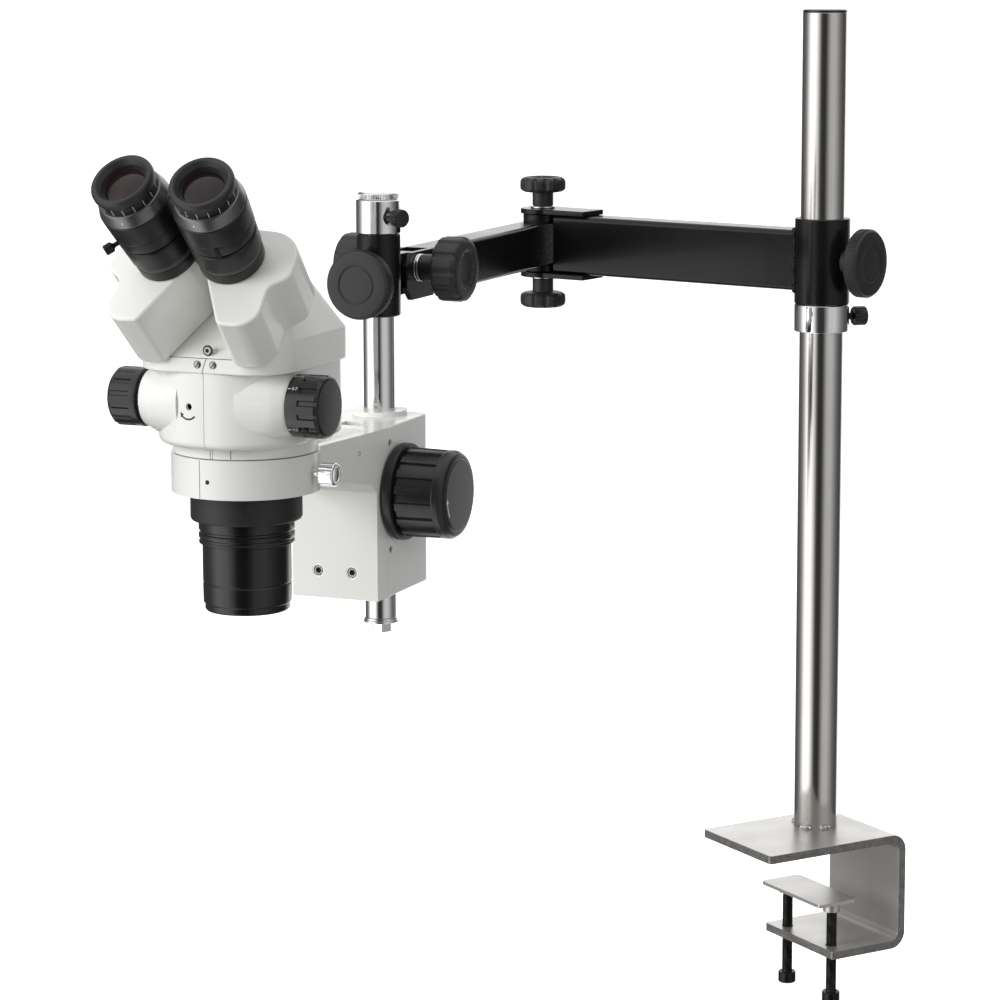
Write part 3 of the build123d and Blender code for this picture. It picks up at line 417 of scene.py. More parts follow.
def carve_offset(tree, entry, depth):
    """Moves the marked vertices towards the Z axis by a depth."""
    position = tree.nodes.new("GeometryNodeInputPosition").outputs["Position"]
    split = tree.nodes.new("ShaderNodeSeparateXYZ")
    tree.links.new(position, split.inputs["Vector"])
    flat = tree.nodes.new("ShaderNodeCombineXYZ")
    tree.links.new(split.outputs["X"], flat.inputs["X"])
    tree.links.new(split.outputs["Y"], flat.inputs["Y"])
    outward = add_node(tree, "ShaderNodeVectorMath", operation="NORMALIZE")
    tree.links.new(flat.outputs["Vector"], outward.inputs[0])
    marked = add_node(tree, "GeometryNodeInputNamedAttribute", {"Name": "cut"}, data_type="FLOAT")
    amount = math_node(tree, "MULTIPLY", math_node(tree, "MULTIPLY", depth, marked.outputs[0]), -1.0)
    move = add_node(tree, "ShaderNodeVectorMath", operation="SCALE")
    tree.links.new(outward.outputs["Vector"], move.inputs[0])
    tree.links.new(amount, move.inputs["Scale"])
    moved = tree.nodes.new("GeometryNodeSetPosition")
    tree.links.new(entry.outputs["Geometry"], moved.inputs["Geometry"])
    tree.links.new(move.outputs["Vector"], moved.inputs["Offset"])
    return moved.outputs["Geometry"]


def polar(tree):
    """Angle about Z and height of each vertex."""
    position = tree.nodes.new("GeometryNodeInputPosition").outputs["Position"]
    split = tree.nodes.new("ShaderNodeSeparateXYZ")
    tree.links.new(position, split.inputs["Vector"])
    return math_node(tree, "ARCTAN2", split.outputs["Y"], split.outputs["X"]), split.outputs["Z"]


def flute_tree():
    """Flutes cut along Z into the marked band of a turned shape."""
    tree, entry, result = new_tree("Flutes", Count=int, Depth=float, Share=float, Softness=float)
    angle = polar(tree)[0]
    wave = math_node(tree, "COSINE", math_node(tree, "MULTIPLY", angle, entry.outputs["Count"]))
    edge = math_node(tree, "COSINE", math_node(tree, "MULTIPLY", entry.outputs["Share"], pi))
    ramp = add_node(tree, "ShaderNodeMapRange", interpolation_type="SMOOTHSTEP")
    tree.links.new(wave, ramp.inputs["Value"])
    tree.links.new(math_node(tree, "SUBTRACT", edge, entry.outputs["Softness"]), ramp.inputs["From Min"])
    tree.links.new(math_node(tree, "ADD", edge, entry.outputs["Softness"]), ramp.inputs["From Max"])
    depth = math_node(tree, "MULTIPLY", ramp.outputs["Result"], entry.outputs["Depth"])
    realized(tree, carve_offset(tree, entry, depth), entry, result)
    return tree


def thread_tree():
    """Screw thread cut into the marked band of a turned shape."""
    tree, entry, result = new_tree("Thread", Pitch=float, Depth=float)
    angle, height = polar(tree)
    turns = math_node(tree, "SUBTRACT", math_node(tree, "DIVIDE", height, entry.outputs["Pitch"]),
                      math_node(tree, "DIVIDE", angle, 2 * pi))
    wave = math_node(tree, "PINGPONG", turns, 0.5)
    depth = math_node(tree, "MULTIPLY", math_node(tree, "MULTIPLY", wave, 2.0), entry.outputs["Depth"])
    realized(tree, carve_offset(tree, entry, depth), entry, result)
    return tree


def around_tree():
    """Copies of a small shape round a circle about Z, each turned to face outwards."""
    tree, entry, result = new_tree("Around", Count=int, Radius=float, Height=float, First=float, Step=float)
    points = tree.nodes.new("GeometryNodePoints")
    tree.links.new(entry.outputs["Count"], points.inputs["Count"])
    index = tree.nodes.new("GeometryNodeInputIndex").outputs["Index"]
    angle = math_node(tree, "ADD", entry.outputs["First"],
                      math_node(tree, "MULTIPLY", index, entry.outputs["Step"]))
    spot = tree.nodes.new("ShaderNodeCombineXYZ")
    for axis, wave in (("X", "COSINE"), ("Y", "SINE")):
        tree.links.new(math_node(tree, "MULTIPLY", math_node(tree, wave, angle), entry.outputs["Radius"]),
                       spot.inputs[axis])
    tree.links.new(entry.outputs["Height"], spot.inputs["Z"])
    tree.links.new(spot.outputs["Vector"], points.inputs["Position"])
    turn = tree.nodes.new("ShaderNodeCombineXYZ")
    tree.links.new(angle, turn.inputs["Z"])
    copies = tree.nodes.new("GeometryNodeInstanceOnPoints")
    tree.links.new(points.outputs[0], copies.inputs["Points"])
    tree.links.new(entry.outputs["Geometry"], copies.inputs["Instance"])
    tree.links.new(turn.outputs["Vector"], copies.inputs["Rotation"])
    realized(tree, copies.outputs["Instances"], entry, result)
    return tree


def bead_tree():
    """Overlapping weld drops of uneven size along a path of edges."""
    tree, entry, result = new_tree("Beads", Count=int, Size=float, Seed=int)
    path = tree.nodes.new("GeometryNodeMeshToCurve")
    spaced = tree.nodes.new("GeometryNodeResampleCurve")
    tree.links.new(entry.outputs["Geometry"], path.inputs["Mesh"])
    tree.links.new(path.outputs["Curve"], spaced.inputs["Curve"])
    tree.links.new(entry.outputs["Count"], spaced.inputs["Count"])
    drop = add_node(tree, "GeometryNodeMeshIcoSphere", {"Radius": 1.0, "Subdivisions": 3})
    copies = tree.nodes.new("GeometryNodeInstanceOnPoints")
    spread = add_node(tree, "FunctionNodeRandomValue", data_type="FLOAT")
    spread.inputs[2].default_value = 0.75
    spread.inputs[3].default_value = 1.3
    tree.links.new(entry.outputs["Seed"], spread.inputs["Seed"])
    tree.links.new(math_node(tree, "MULTIPLY", spread.outputs[1], entry.outputs["Size"]),
                   copies.inputs["Scale"])
    tree.links.new(spaced.outputs["Curve"], copies.inputs["Points"])
    tree.links.new(drop.outputs["Mesh"], copies.inputs["Instance"])
    real = tree.nodes.new("GeometryNodeRealizeInstances")
    tree.links.new(copies.outputs["Instances"], real.inputs["Geometry"])
    lumps = add_node(tree, "ShaderNodeTexNoise", {"Scale": 420.0, "Detail": 2.0})
    normal = tree.nodes.new("GeometryNodeInputNormal").outputs["Normal"]
    push = add_node(tree, "ShaderNodeVectorMath", operation="SCALE")
    height = math_node(tree, "MULTIPLY", math_node(tree, "SUBTRACT", lumps.outputs["Fac"], 0.5),
                       entry.outputs["Size"])
    tree.links.new(normal, push.inputs[0])
    tree.links.new(height, push.inputs["Scale"])
    uneven = tree.nodes.new("GeometryNodeSetPosition")
    tree.links.new(real.outputs["Geometry"], uneven.inputs["Geometry"])
    tree.links.new(push.outputs["Vector"], uneven.inputs["Offset"])
    realized(tree, uneven.outputs["Geometry"], entry, result)
    return tree


flutes = flute_tree()
thread = thread_tree()
around = around_tree()
beads = bead_tree()


def through(tree, data, material, **values):
    """Plain mesh that a node tree makes from mesh data."""
    work = bpy.data.objects.new("work", data)
    bpy.context.scene.collection.objects.link(work)
    modifier = work.modifiers.new("tree", "NODES")
    modifier.node_group = tree
    keys = {item.name: item.identifier for item in tree.interface.items_tree if item.in_out == "INPUT"}
    modifier[keys["Material"]] = material
    for label, value in values.items():
        modifier[keys[label]] = value
    return applied(work)


def block(x, y, z, bevel=0.0):
    """Small block centred on the origin, in millimetres, with eased edges."""
    mesh = bmesh.new()
    bmesh.ops.create_cube(mesh, size=1.0)
    bmesh.ops.scale(mesh, vec=(x * MM, y * MM, z * MM), verts=mesh.verts)
    if bevel > 0:
        bmesh.ops.bevel(mesh, geom=mesh.edges, offset=bevel * MM, segments=2, affect="EDGES", profile=0.5)
    return mesh_data(mesh, "block")


def flat(x, y):
    """Point of the XY plane, for ink on a flat face."""
    return Vector((x, y, 0))


def strip(points, width, surface=flat):
    """Ribbon of ink along (x, y) points in millimetres, laid on a surface."""
    mesh = bmesh.new()
    sides = []
    line = [Vector(point) for point in points]
    for index, point in enumerate(line):
        before = line[max(index - 1, 0)]
        after = line[min(index + 1, len(line) - 1)]
        along = (after - before).normalized()
        across = Vector((-along.y, along.x)) * width / 2
        sides.append([mesh.verts.new(surface(*(point + across * side)) * MM) for side in (1, -1)])
    for (a, b), (c, d) in zip(sides, sides[1:]):
        mesh.faces.new((a, b, d, c))
    return mesh_data(mesh, "strip")


def curved_arrow(radius, start, sweep, width, head, surface=flat, centre=(0, 0)):
    """Ink arrow along an arc, with a head at its end; angles in degrees."""
    direction = 1 if sweep > 0 else -1

    def spot(size, angle):
        return centre[0] + size * cos(angle), centre[1] + size * sin(angle)

    arc = [spot(radius, radians(start + sweep * step / 24)) for step in range(25)]
    end = radians(start + sweep)
    corners = [spot(radius - head * 0.55, end), spot(radius + head * 0.55, end),
               spot(radius, end + direction * head / radius)]
    if direction < 0:
        corners.reverse()
    mesh = bmesh.new()
    mesh.faces.new([mesh.verts.new(surface(x, y) * MM) for x, y in corners])
    return strip(arc, width, surface), mesh_data(mesh, "head")


def applied(work):
    """Plain mesh of a work object with its modifiers applied; the object goes away."""
    bpy.context.view_layer.update()
    depsgraph = bpy.context.evaluated_depsgraph_get()
    made = bpy.data.meshes.new_from_object(work.evaluated_get(depsgraph), depsgraph=depsgraph)
    work.modifiers.clear()
    bpy.data.objects.remove(work)
    return made


def softened(node, width, angle=30, segments=3, dissolve=True):
    """Copy of a CAD node's mesh with its edges rounded by a width in millimetres."""
    mesh = bmesh.new()
    mesh.from_mesh(nodes[node].data)
    bmesh.ops.remove_doubles(mesh, verts=mesh.verts, dist=1e-6)
    if dissolve:
        bmesh.ops.dissolve_limit(mesh, angle_limit=radians(1.0), verts=mesh.verts, edges=mesh.edges)
    data = mesh_data(mesh, node)
    work = bpy.data.objects.new("work", data)
    bpy.context.scene.collection.objects.link(work)
    bevel = work.modifiers.new("edges", "BEVEL")
    bevel.width = width * MM
    bevel.segments = segments
    bevel.limit_method = "ANGLE"
    bevel.angle_limit = radians(angle)
    bevel.miter_outer = "MITER_ARC"
    rounded = applied(work)
    shade(rounded, 50)
    work = bpy.data.objects.new("work", rounded)
    bpy.context.scene.collection.objects.link(work)
    weighted = work.modifiers.new("normals", "WEIGHTED_NORMAL")
    weighted.keep_sharp = True
    weighted.weight = 100
    return applied(work)


def body_of_node(node):
    for body, members in frame["record"]["behaviour"]["bodies"].items():
        if node in members:
            return body
    return None


def soft_piece(node, width, material, name=None, angle=30, segments=3):
    """Replaces a CAD node by the same shape with rounded edges."""
    data = softened(node, width, angle, segments)
    return piece(name or node + "_finished", data, Matrix.Identity(4), body_of_node(node),
                 material, (node,), angle=None)


def turned_piece(name, node, place, points, material, segments=128, closed=False, radius=0.5, extra=(),
                 **options):
    """Replaces a CAD node by a turned shape in the given finish, with any extra meshes joined to it."""
    data = turned(eased(points, radius, closed), segments, closed, **options)
    parts = [(data, material), *extra]
    return piece(name, joined(*parts), place, body_of_node(node), None, (node,))


# ---- knobs ----
def ring_of_teeth(count, radius, height, size, material, slope=0.0):
    """Fine teeth round a rim; size is depth, width and length along the axis."""
    tooth = block(size[0], size[1], size[2], bevel=min(size) * 0.25)
    tooth.transform(Matrix.Rotation(slope, 4, "Y"))
    return through(around, tooth, material, Count=count, Radius=radius * MM, Height=height * MM, First=0.0,
                   Step=2 * pi / count)


def dish_knob(name, node, joint, low_radius):
    """Dished lock knob with a knurled slope, a flat face with a round groove, and a chrome stud."""
    axis = joint_axis(joint)
    origin = joint_point(joint)
    low, high = span(node, origin, axis)
    place = standing(origin, axis, UP)
    rim = low_radius
    profile = [(3.0, high - 22), (9.0, high - 22), (9.3, high - 14.5), (rim - 2.2, high - 11.5),
               (rim, high - 10), (rim, high - 1.6), (rim - 1.3, high - 0.2), (13.6, high),
               (13.3, high - 0.7),
               (12.2, high - 0.7), (11.9, high - 0.25), (0, high - 0.25)]
    knob = turned(eased(profile, 0.7), 128)
    teeth = ring_of_teeth(96, rim - 0.1, high - 5.9, (1.5, 0.85, 7.2), charcoal)
    stud = turned(eased([(0, low), (4, low), (4, high - 21.5), (0, high - 21.5)], 0.4), 48,
                  cut=(low + 1, high - 23))
    stud = through(thread, stud, chrome, Pitch=1.25 * MM, Depth=0.35 * MM)
    collar = turned(eased([(0, high - 24.2), (7.4, high - 24.2), (7.4, high - 22), (0, high - 22)], 0.4), 64)
    data = joined((knob, charcoal), (teeth, charcoal), (stud, chrome), (collar, chrome))
    return piece(name, data, place, body_of_node(node), None, (node,))


def lobed_knob(name, node, joint, inward, neck_radius, neck, rim, count=12):
    """Clamping knob with rounded flutes, a neck and a dished face; inward is the way to its base."""
    axis = -inward.normalized()
    origin = joint_point(joint)
    low, high = span(node, origin, axis)
    top = high - low
    place = standing(origin + axis * low * MM, axis, UP if abs(axis.z) < 0.5 else front_direction)
    face = rim * 0.56
    profile = [(4.1, 0), (neck_radius, 0), (neck_radius, neck), (rim - 3.0, neck + 0.2),
               (rim - 0.4, neck + 1.8),
               (rim, neck + 3.2), (rim, (neck + top) / 2), (rim, top - 3.4), (rim - 0.8, top - 1.6),
               (rim - 3.2, top - 0.2), (face + 1.2, top), (face, top - 0.8), (face * 0.9, top - 2.2),
               (0, top - 2.4)]
    body = turned(eased(profile, 0.9), 192, cut=(neck + 0.9, top - 0.7))
    body = through(flutes, body, charcoal, Count=count, Depth=1.5 * MM, Share=0.34, Softness=0.55)
    bore = turned([(4.1, 0), (4.1, neck)], 48)
    data = joined((body, charcoal), (bore, charcoal))
    return piece(name, data, place, body_of_node(node), None, (node,))


def thumb_screw(name, node, joint, head_radius, head_length, shank_radius, material, shank_material,
                knurls=24,
                recess=0.0):
    """Small knurled screw on its joint's axis."""
    axis = joint_axis(joint)
    origin = joint_point(joint)
    low, high = span(node, origin, axis)
    place = standing(origin, axis, UP)
    start = high - head_length
    rim = head_radius
    profile = [(0, start), (rim - 0.9, start), (rim, start + 0.9), (rim, high - 0.9), (rim - 0.9, high)]
    if recess > 0:
        profile += [(recess, high), (recess - 0.4, high - 0.8), (0, high - 0.8)]
    else:
        profile += [(0, high)]
    head = turned(eased(profile, 0.35), 192, cut=(start + 1.0, high - 1.0))
    head = through(flutes, head, material, Count=knurls, Depth=0.55 * MM, Share=0.40, Softness=0.35)
    shank = turned(eased([(0, low), (shank_radius, low), (shank_radius, start + 0.2), (0, start + 0.2)],
                         0.3), 48)
    data = joined((head, material), (shank, shank_material))
    return piece(name, data, place, body_of_node(node), None, (node,))


def socket_screw(head_radius, head_length, shank_radius, shank_length, socket, material, pitch=0.0):
    """Socket-head screw pointing up from its head's underside at height 0; the head hangs below."""
    rim = head_radius
    profile = [(0, -head_length * 0.42), (socket, -head_length * 0.42), (socket, -head_length),
               (rim - 0.5, -head_length), (rim, -head_length + 0.5), (rim, -0.35), (rim - 0.35, 0),
               (shank_radius, 0), (shank_radius, 1.5)]
    turns = int(shank_length / 0.32) if pitch else 1
    profile += [(shank_radius, 1.5 + (shank_length - 3.0) * k / turns) for k in range(1, turns + 1)]
    profile += [(shank_radius - 0.8, shank_length), (0, shank_length)]
    is_socket = [(lambda radius, height: abs(radius - socket) < 1e-6, hexagon)]
    data = turned(profile, 48, cut=(1.4, shank_length - 1.4), shapes=is_socket)
    if pitch:
        data = through(thread, data, material, Pitch=pitch * MM, Depth=0.55 * MM)
    return data


def clamp_parts():
    """Bracket with ground faces and rough cut edges, jaw pad, threaded screws and the welds of the post."""
    data = softened("clamp_bracket", 1.3, 35, 4)
    data.materials.clear()
    data.materials.append(clamp_steel)
    data.materials.append(cut_steel)
    for face in data.polygons:
        low_end = min(data.vertices[index].co.y for index in face.vertices)
        if abs(face.normal.x) > 0.35 or (face.normal.y < -0.35 and low_end < -0.02):
            face.material_index = 1
    piece("clamp_bracket_finished", data, Matrix.Identity(4), "stand", None,
          ("clamp_bracket",), None)
    soft_piece("clamp_pad", 0.5, clamp_steel)
    for side in ("left", "right"):
        node = "clamp_screw_" + side
        origin = joint_point(node + "_turn")
        low, high = span(node, origin, UP)
        place = standing(origin + UP * (low + 8.0) * MM, UP, Vector((1, 0, 0)))
        screw = socket_screw(6.5, 8.0, 4.0, high - low - 12.6, 3.4, black_oxide, pitch=1.25)
        tip = turned(eased([(0, high - low - 13), (2.6, high - low - 13), (2.6, high - low - 8.1),
                            (0, high - low - 8.1)], 0.3), 32)
        piece(node + "_threaded", joined((screw, black_oxide), (tip, screw_steel)), place, node,
              None, (node,))
    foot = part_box("post")[0].z / MM
    drops = []
    for seed, start in enumerate((-62, -8, 100, 205)):
        path = bmesh.new()
        ends = []
        for step in range(9):
            angle = radians(start - 11 + step * 2.75)
            ends.append(path.verts.new((16.6 * MM * cos(angle), 16.6 * MM * sin(angle), (foot + 1.0) * MM)))
        for first, second in zip(ends, ends[1:]):
            path.edges.new((first, second))
        drops.append((through(beads, mesh_data(path, "path"), weld_metal, Count=6, Size=1.9 * MM,
                              Seed=seed + 3),
                      weld_metal))
    piece("post_weld_beads", joined(*drops), Matrix.Identity(4), "stand", angle=80)


def post_parts():
    """Post, its plug cap, the safety collar and its thumb screw."""
    low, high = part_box("post")
    foot, top = low.z / MM, high.z / MM
    turned_piece("post_tube", "post", post_frame, [(14, foot), (16, foot), (16, top), (14, top)], post_steel,
                 closed=True, radius=0.6)
    turned_piece("post_plug", "post_cap", post_frame,
                 [(0, top - 12), (13.6, top - 12), (13.8, top), (16, top), (16, top + 1.4), (14.6, top + 2),
                  (0, top + 2)],
                 black_plastic)
    low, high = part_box("safety_collar")
    turned_piece("safety_collar_ring", "safety_collar", post_frame,
                 [(16.05, low.z / MM), (20, low.z / MM), (20, high.z / MM), (16.05, high.z / MM)], chrome,
                 closed=True, radius=0.8)
    thumb_screw("safety_thumb_screw", "safety_collar_screw", "safety_screw_turn", 7.0, 10.0, 2.5,
                black_plastic,
                black_oxide, knurls=20)


def rear_arm_parts():
    """Sleeve, welded tube, elbow lugs and the sleeve's lock knob."""
    low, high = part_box("arm_sleeve")
    turned_piece("arm_sleeve_painted", "arm_sleeve", post_frame,
                 [(16.05, low.z / MM), (20, low.z / MM), (20, high.z / MM), (16.05, high.z / MM)],
                 black_gloss,
                 closed=True, radius=1.0)
    soft_piece("rear_arm_tube", 0.5, black_gloss)
    soft_piece("elbow_lugs", 0.7, black_gloss)
    soft_piece("elbow_bolt", 0.4, chrome)
    weld_seam("sleeve_weld_beads", "rear_arm", rear_direction, 12.7, 22.0)
    dish_knob("sleeve_lock_knurled", "sleeve_lock_knob", "sleeve_lock_turn", 24.0)


def weld_seam(name, body, direction, half_width, half_height):
    """Painted weld beads up both sides of a tube where it meets its sleeve."""
    middle = (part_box("arm_sleeve")[0].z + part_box("arm_sleeve")[1].z) / 2 / MM
    across = Vector((-direction.y, direction.x, 0))
    parts = []
    for side in (-1, 1):
        bead_radius = 20.2
        back = (bead_radius ** 2 - half_width ** 2) ** 0.5
        path = bmesh.new()
        ends = [path.verts.new(direction * back * MM + across * side * half_width * MM
                               + UP * (middle + height) * MM)
                for height in (-half_height, -half_height / 3, half_height / 3, half_height)]
        for first, second in zip(ends, ends[1:]):
            path.edges.new((first, second))
        parts.append((through(beads, mesh_data(path, "path"), black_gloss, Count=15, Size=1.7 * MM,
                              Seed=7 + side),
                      black_gloss))
    piece(name, joined(*parts), Matrix.Identity(4), body, angle=80)


def front_arm_parts():
    """Elbow barrel, tube, fork cheeks, bolts and the four fluted clamping knobs."""
    soft_piece("elbow_barrel", 0.6, black_gloss)
    soft_piece("front_arm_tube", 0.5, black_gloss)
    soft_piece("fork_cheeks", 0.8, black_gloss)
    soft_piece("tilt_bolt", 0.4, chrome)
    lobed_knob("elbow_top_fluted", "elbow_knob_top", "elbow_knob_top_turn", -UP, 8.0, 10.5, 17.3)
    lobed_knob("elbow_bottom_fluted", "elbow_knob_bottom", "elbow_knob_bottom_turn", UP, 8.0, 10.5, 17.3)
    tilt = joint_axis("pillar_tilt")
    lobed_knob("tilt_right_fluted", "tilt_knob_right", "tilt_knob_right_turn", -tilt, 9.5, 14.0, 22.5)
    lobed_knob("tilt_left_fluted", "tilt_knob_left", "tilt_knob_left_turn", tilt, 9.5, 7.0, 22.5)


def pillar_parts():
    """Pillar and what holds it: sleeve, lock knob, stop collar, cap and end bolt."""
    soft_piece("pillar_sleeve", 0.8, black_gloss)
    dish_knob("pillar_lock_knurled", "pillar_lock_knob", "pillar_lock_turn", 23.0)
    soft_piece("pillar_collar", 0.6, chrome)
    thumb_screw("pillar_thumb_screw", "pillar_collar_screw", "pillar_collar_screw_turn", 6.2, 8.5, 2.5,
                black_plastic, screw_steel, knurls=22)
    low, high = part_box("pillar")
    turned_piece("pillar_bar", "pillar", pillar_frame,
                 [(4.1, low.z / MM), (11, low.z / MM), (11, high.z / MM), (9, high.z / MM)], chrome,
                 radius=0.6)
    low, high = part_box("pillar_cap")
    top = high.z / MM
    cap = turned(eased([(0, top - 5.1), (13.6, top - 5.1), (14.0, top - 4.6), (14.0, top - 1.2), (12.6, top),
                        (0, top)], 0.5), 240, cut=(top - 4.4, top - 1.4))
    cap = through(flutes, cap, chrome, Count=80, Depth=0.35 * MM, Share=0.45, Softness=0.4)
    piece("pillar_cap_knurled", joined((cap, chrome)), pillar_frame, "pillar", None,
          ("pillar_cap",))
    soft_piece("pillar_end_bolt", 0.4, chrome)


def focus_parts():
    """Housing, slide, head holder with its ring, tension collar and the two focus knobs."""
    soft_piece("focus_housing", 0.9, white_paint)
    soft_piece("housing_screws", 0.25, black_oxide)
    thumb_screw("housing_clamp_knurled", "housing_clamp_screw", "housing_clamp_screw_turn", 5.5, 5.6, 3.0,
                black_oxide, black_oxide, knurls=18, recess=2.6)
    soft_piece("head_holder", 1.3, white_paint, angle=28)
    leg_screws()
    soft_piece("slide_plate", 0.3, machined_steel)
    thumb_screw("ring_screw_knurled", "ring_screw", "ring_screw_turn", 7.5, 11.0, 3.0, chrome, chrome,
                knurls=26,
                recess=5.2)
    axis = joint_axis("focus_shaft_turn")
    origin = joint_point("focus_shaft_turn")
    low, high = span("tension_collar", origin, axis)
    turned_piece("tension_collar_ring", "tension_collar", standing(origin, axis, UP),
                 [(4.1, low), (31, low), (33, low + 2.2), (33, high - 0.6), (32.4, high), (4.1, high)],
                 dark_satin,
                 closed=True, radius=0.8)
    for side, way in (("right", axis), ("left", -axis)):
        focus_knob("focus_knob_" + side, origin, way)


def leg_screws():
    """Two sunk socket screws in the leg's front and a small hole in the arm's side, its dark painted in as shade.
    """
    parts = []
    for x in (-12.5, 12.5):
        recess = standing(on(pillar_frame, x, -71.2, 235.5), facing, UP)
        head = turned(eased([(0, 0), (3.35, 0), (3.35, 2.9), (2.9, 3.3), (1.9, 3.3), (1.8, 1.4), (0, 1.4)],
                            0.2), 48,
                      shapes=[(lambda radius, height: radius < 2.0 and height > 1.0, hexagon)])
        # Near-black disc at the socket's floor: painted shade inside the hex socket.
        floor = turned([(0, 1.46), (1.7, 1.46), (1.7, 1.5), (0, 1.5)], 32)
        rim = turned(eased([(3.45, 2.6), (4.25, 3.86), (4.5, 3.9), (3.5, 2.5)], 0.05, True), 48, True)
        for part, material in ((head, screw_steel), (floor, painted_recess_shade), (rim, chrome)):
            part.transform(recess)
            parts.append((part, material))
    # Small hole in the arm's side: a shallow dish in the seam shadow finish, painted shade of the hole.
    plug = turned([(0, -0.5), (1.5, -0.5), (1.5, 0.06), (1.1, 0.05), (1.0, -0.1), (0, -0.1)], 24)
    plug.transform(standing(on(pillar_frame, 28.95, -97, 321), head_right - facing * -0.115, UP))
    parts.append((plug, seam_shadow))
    piece("leg_screws_and_hole_shade", joined(*parts), Matrix.Identity(4), "focus_slide", None,
          ("holder_screws",))


def focus_knob(node, origin, axis):
    """Large knob with wide closed grooves, a bevelled rim, a raised face ring and a turning arrow."""
    low, high = span(node, origin, axis)
    rim = 30.5
    place = standing(origin, axis, UP)
    groove_end = high - 9.0
    face = rim * 0.80
    profile = [(4.1, low), (rim - 1.4, low), (rim - 0.9, low + 0.6), (rim - 0.2, low + 1.2),
               (rim - 0.2, low + 1.6),
               (rim - 0.5, (low + high) / 2), (rim - 0.7, groove_end - 0.5), (rim - 0.7, groove_end),
               (rim - 0.4, groove_end + 0.7), (rim - 0.6, high - 4.6), (rim - 2.6, high - 1.6),
               (face + 1.6, high - 0.9),
               (face + 0.4, high - 1.1), (face, high - 0.2), (face - 0.8, high), (0, high)]
    body = turned(eased(profile, 0.3), 288, cut=(low + 0.3, groove_end - 0.2))
    body = through(flutes, body, knob_black, Count=16, Depth=1.7 * MM, Share=0.50, Softness=0.07)
    line, tip = curved_arrow(rim - 8.6, 124, -27, 1.2, 3.4)
    lift = Matrix.Translation((0, 0, (high + 0.08) * MM))
    line.transform(lift)
    tip.transform(lift)
    data = joined((body, knob_black), (line, white_ink), (tip, white_ink))
    piece(node + "_grooved", data, place, "focus_shaft", None, (node,))


def objective_parts():
    """Textured skirt, grooved step and gloss barrel of the objective, with its front lens."""
    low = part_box("objective_barrel")[0].z / MM
    skirt = turned(eased([(26, 345), (38.05, 345), (38.05, 313.5), (35.6, 313), (35.6, 296), (34.8, 294.6),
                          (30.2, 294.4), (26, 294.4)], 0.6, closed=True), 160, closed=True)
    step = turned(eased([(24, 295), (30.6, 295), (30.6, 288.4), (29.6, 287.8), (29.6, 286.4), (30.6, 285.8),
                         (30.6, 283.4), (29.8, 282.8), (29.8, 281.6), (30.4, 281.0), (30.4, 279.6),
                         (29.0, 279.0),
                         (24, 279.0)], 0.25, closed=True), 160, closed=True)
    barrel = turned(eased([(23, 280), (28.3, 280), (28.3, 254.6), (27.9, 254.2), (27.9, 253.4),
                           (28.3, 253.0),
                           (28.1, 241.2), (27.1, 240.6), (27.1, low + 1.0), (26.4, low), (24.2, low),
                           (24.0, low + 0.6), (24.0, low + 6), (23, low + 6)], 0.3, closed=True), 160,
                    closed=True)
    data = joined((skirt, objective_texture), (step, objective_gloss), (barrel, objective_gloss))
    piece("objective_housing", data, head_frame, "head", None, ("objective_barrel",))
    lens = turned(eased([(0, low + 6.2), (10, low + 6.6), (22.9, low + 8.8), (22.9, low + 16),
                         (0, low + 17)], 0.5), 96)
    piece("objective_front_lens", lens, head_frame, "head", optical_glass, ("objective_lens",))


def on_body(x, z, lift=0.05):
    """Point on the front of the head body, just clear of its paint."""
    radius = 45 + lift
    side = max(abs(x) - 4.5, 0.0)
    return Vector((x, -12 - (radius ** 2 - side ** 2) ** 0.5, z))


def on_flange(x, z, lift=0.06):
    """Point on the front of the binocular body's flange."""
    radius = 27 + lift
    side = max(abs(x) - 25, 0.0)
    return Vector((x, -31.5 - (radius ** 2 - side ** 2) ** 0.5, z))


def ring_line(radius, degree, low, high, width):
    """Upright seam line on a round part about the head's axis, at an angle from its front."""
    half = degrees(width / 2 / radius)
    mesh = bmesh.new()
    corners = []
    for z, turn in ((low, -half), (low, half), (high, half), (high, -half)):
        angle = radians(degree + turn)
        corners.append(mesh.verts.new((radius * sin(angle) * MM, -radius * cos(angle) * MM, z * MM)))
    mesh.faces.new(corners)
    return mesh_data(mesh, "seam")


def disc_at(point, outward, radius, depth, stages):
    """Small turned fitting let into a face; stages are (radius share, height) steps of its front."""
    data = turned([(0, -depth), (radius, -depth)] + [(radius * share, height) for share, height in stages],
                  32)
    data.transform(standing(point * MM, outward, UP))
    return data


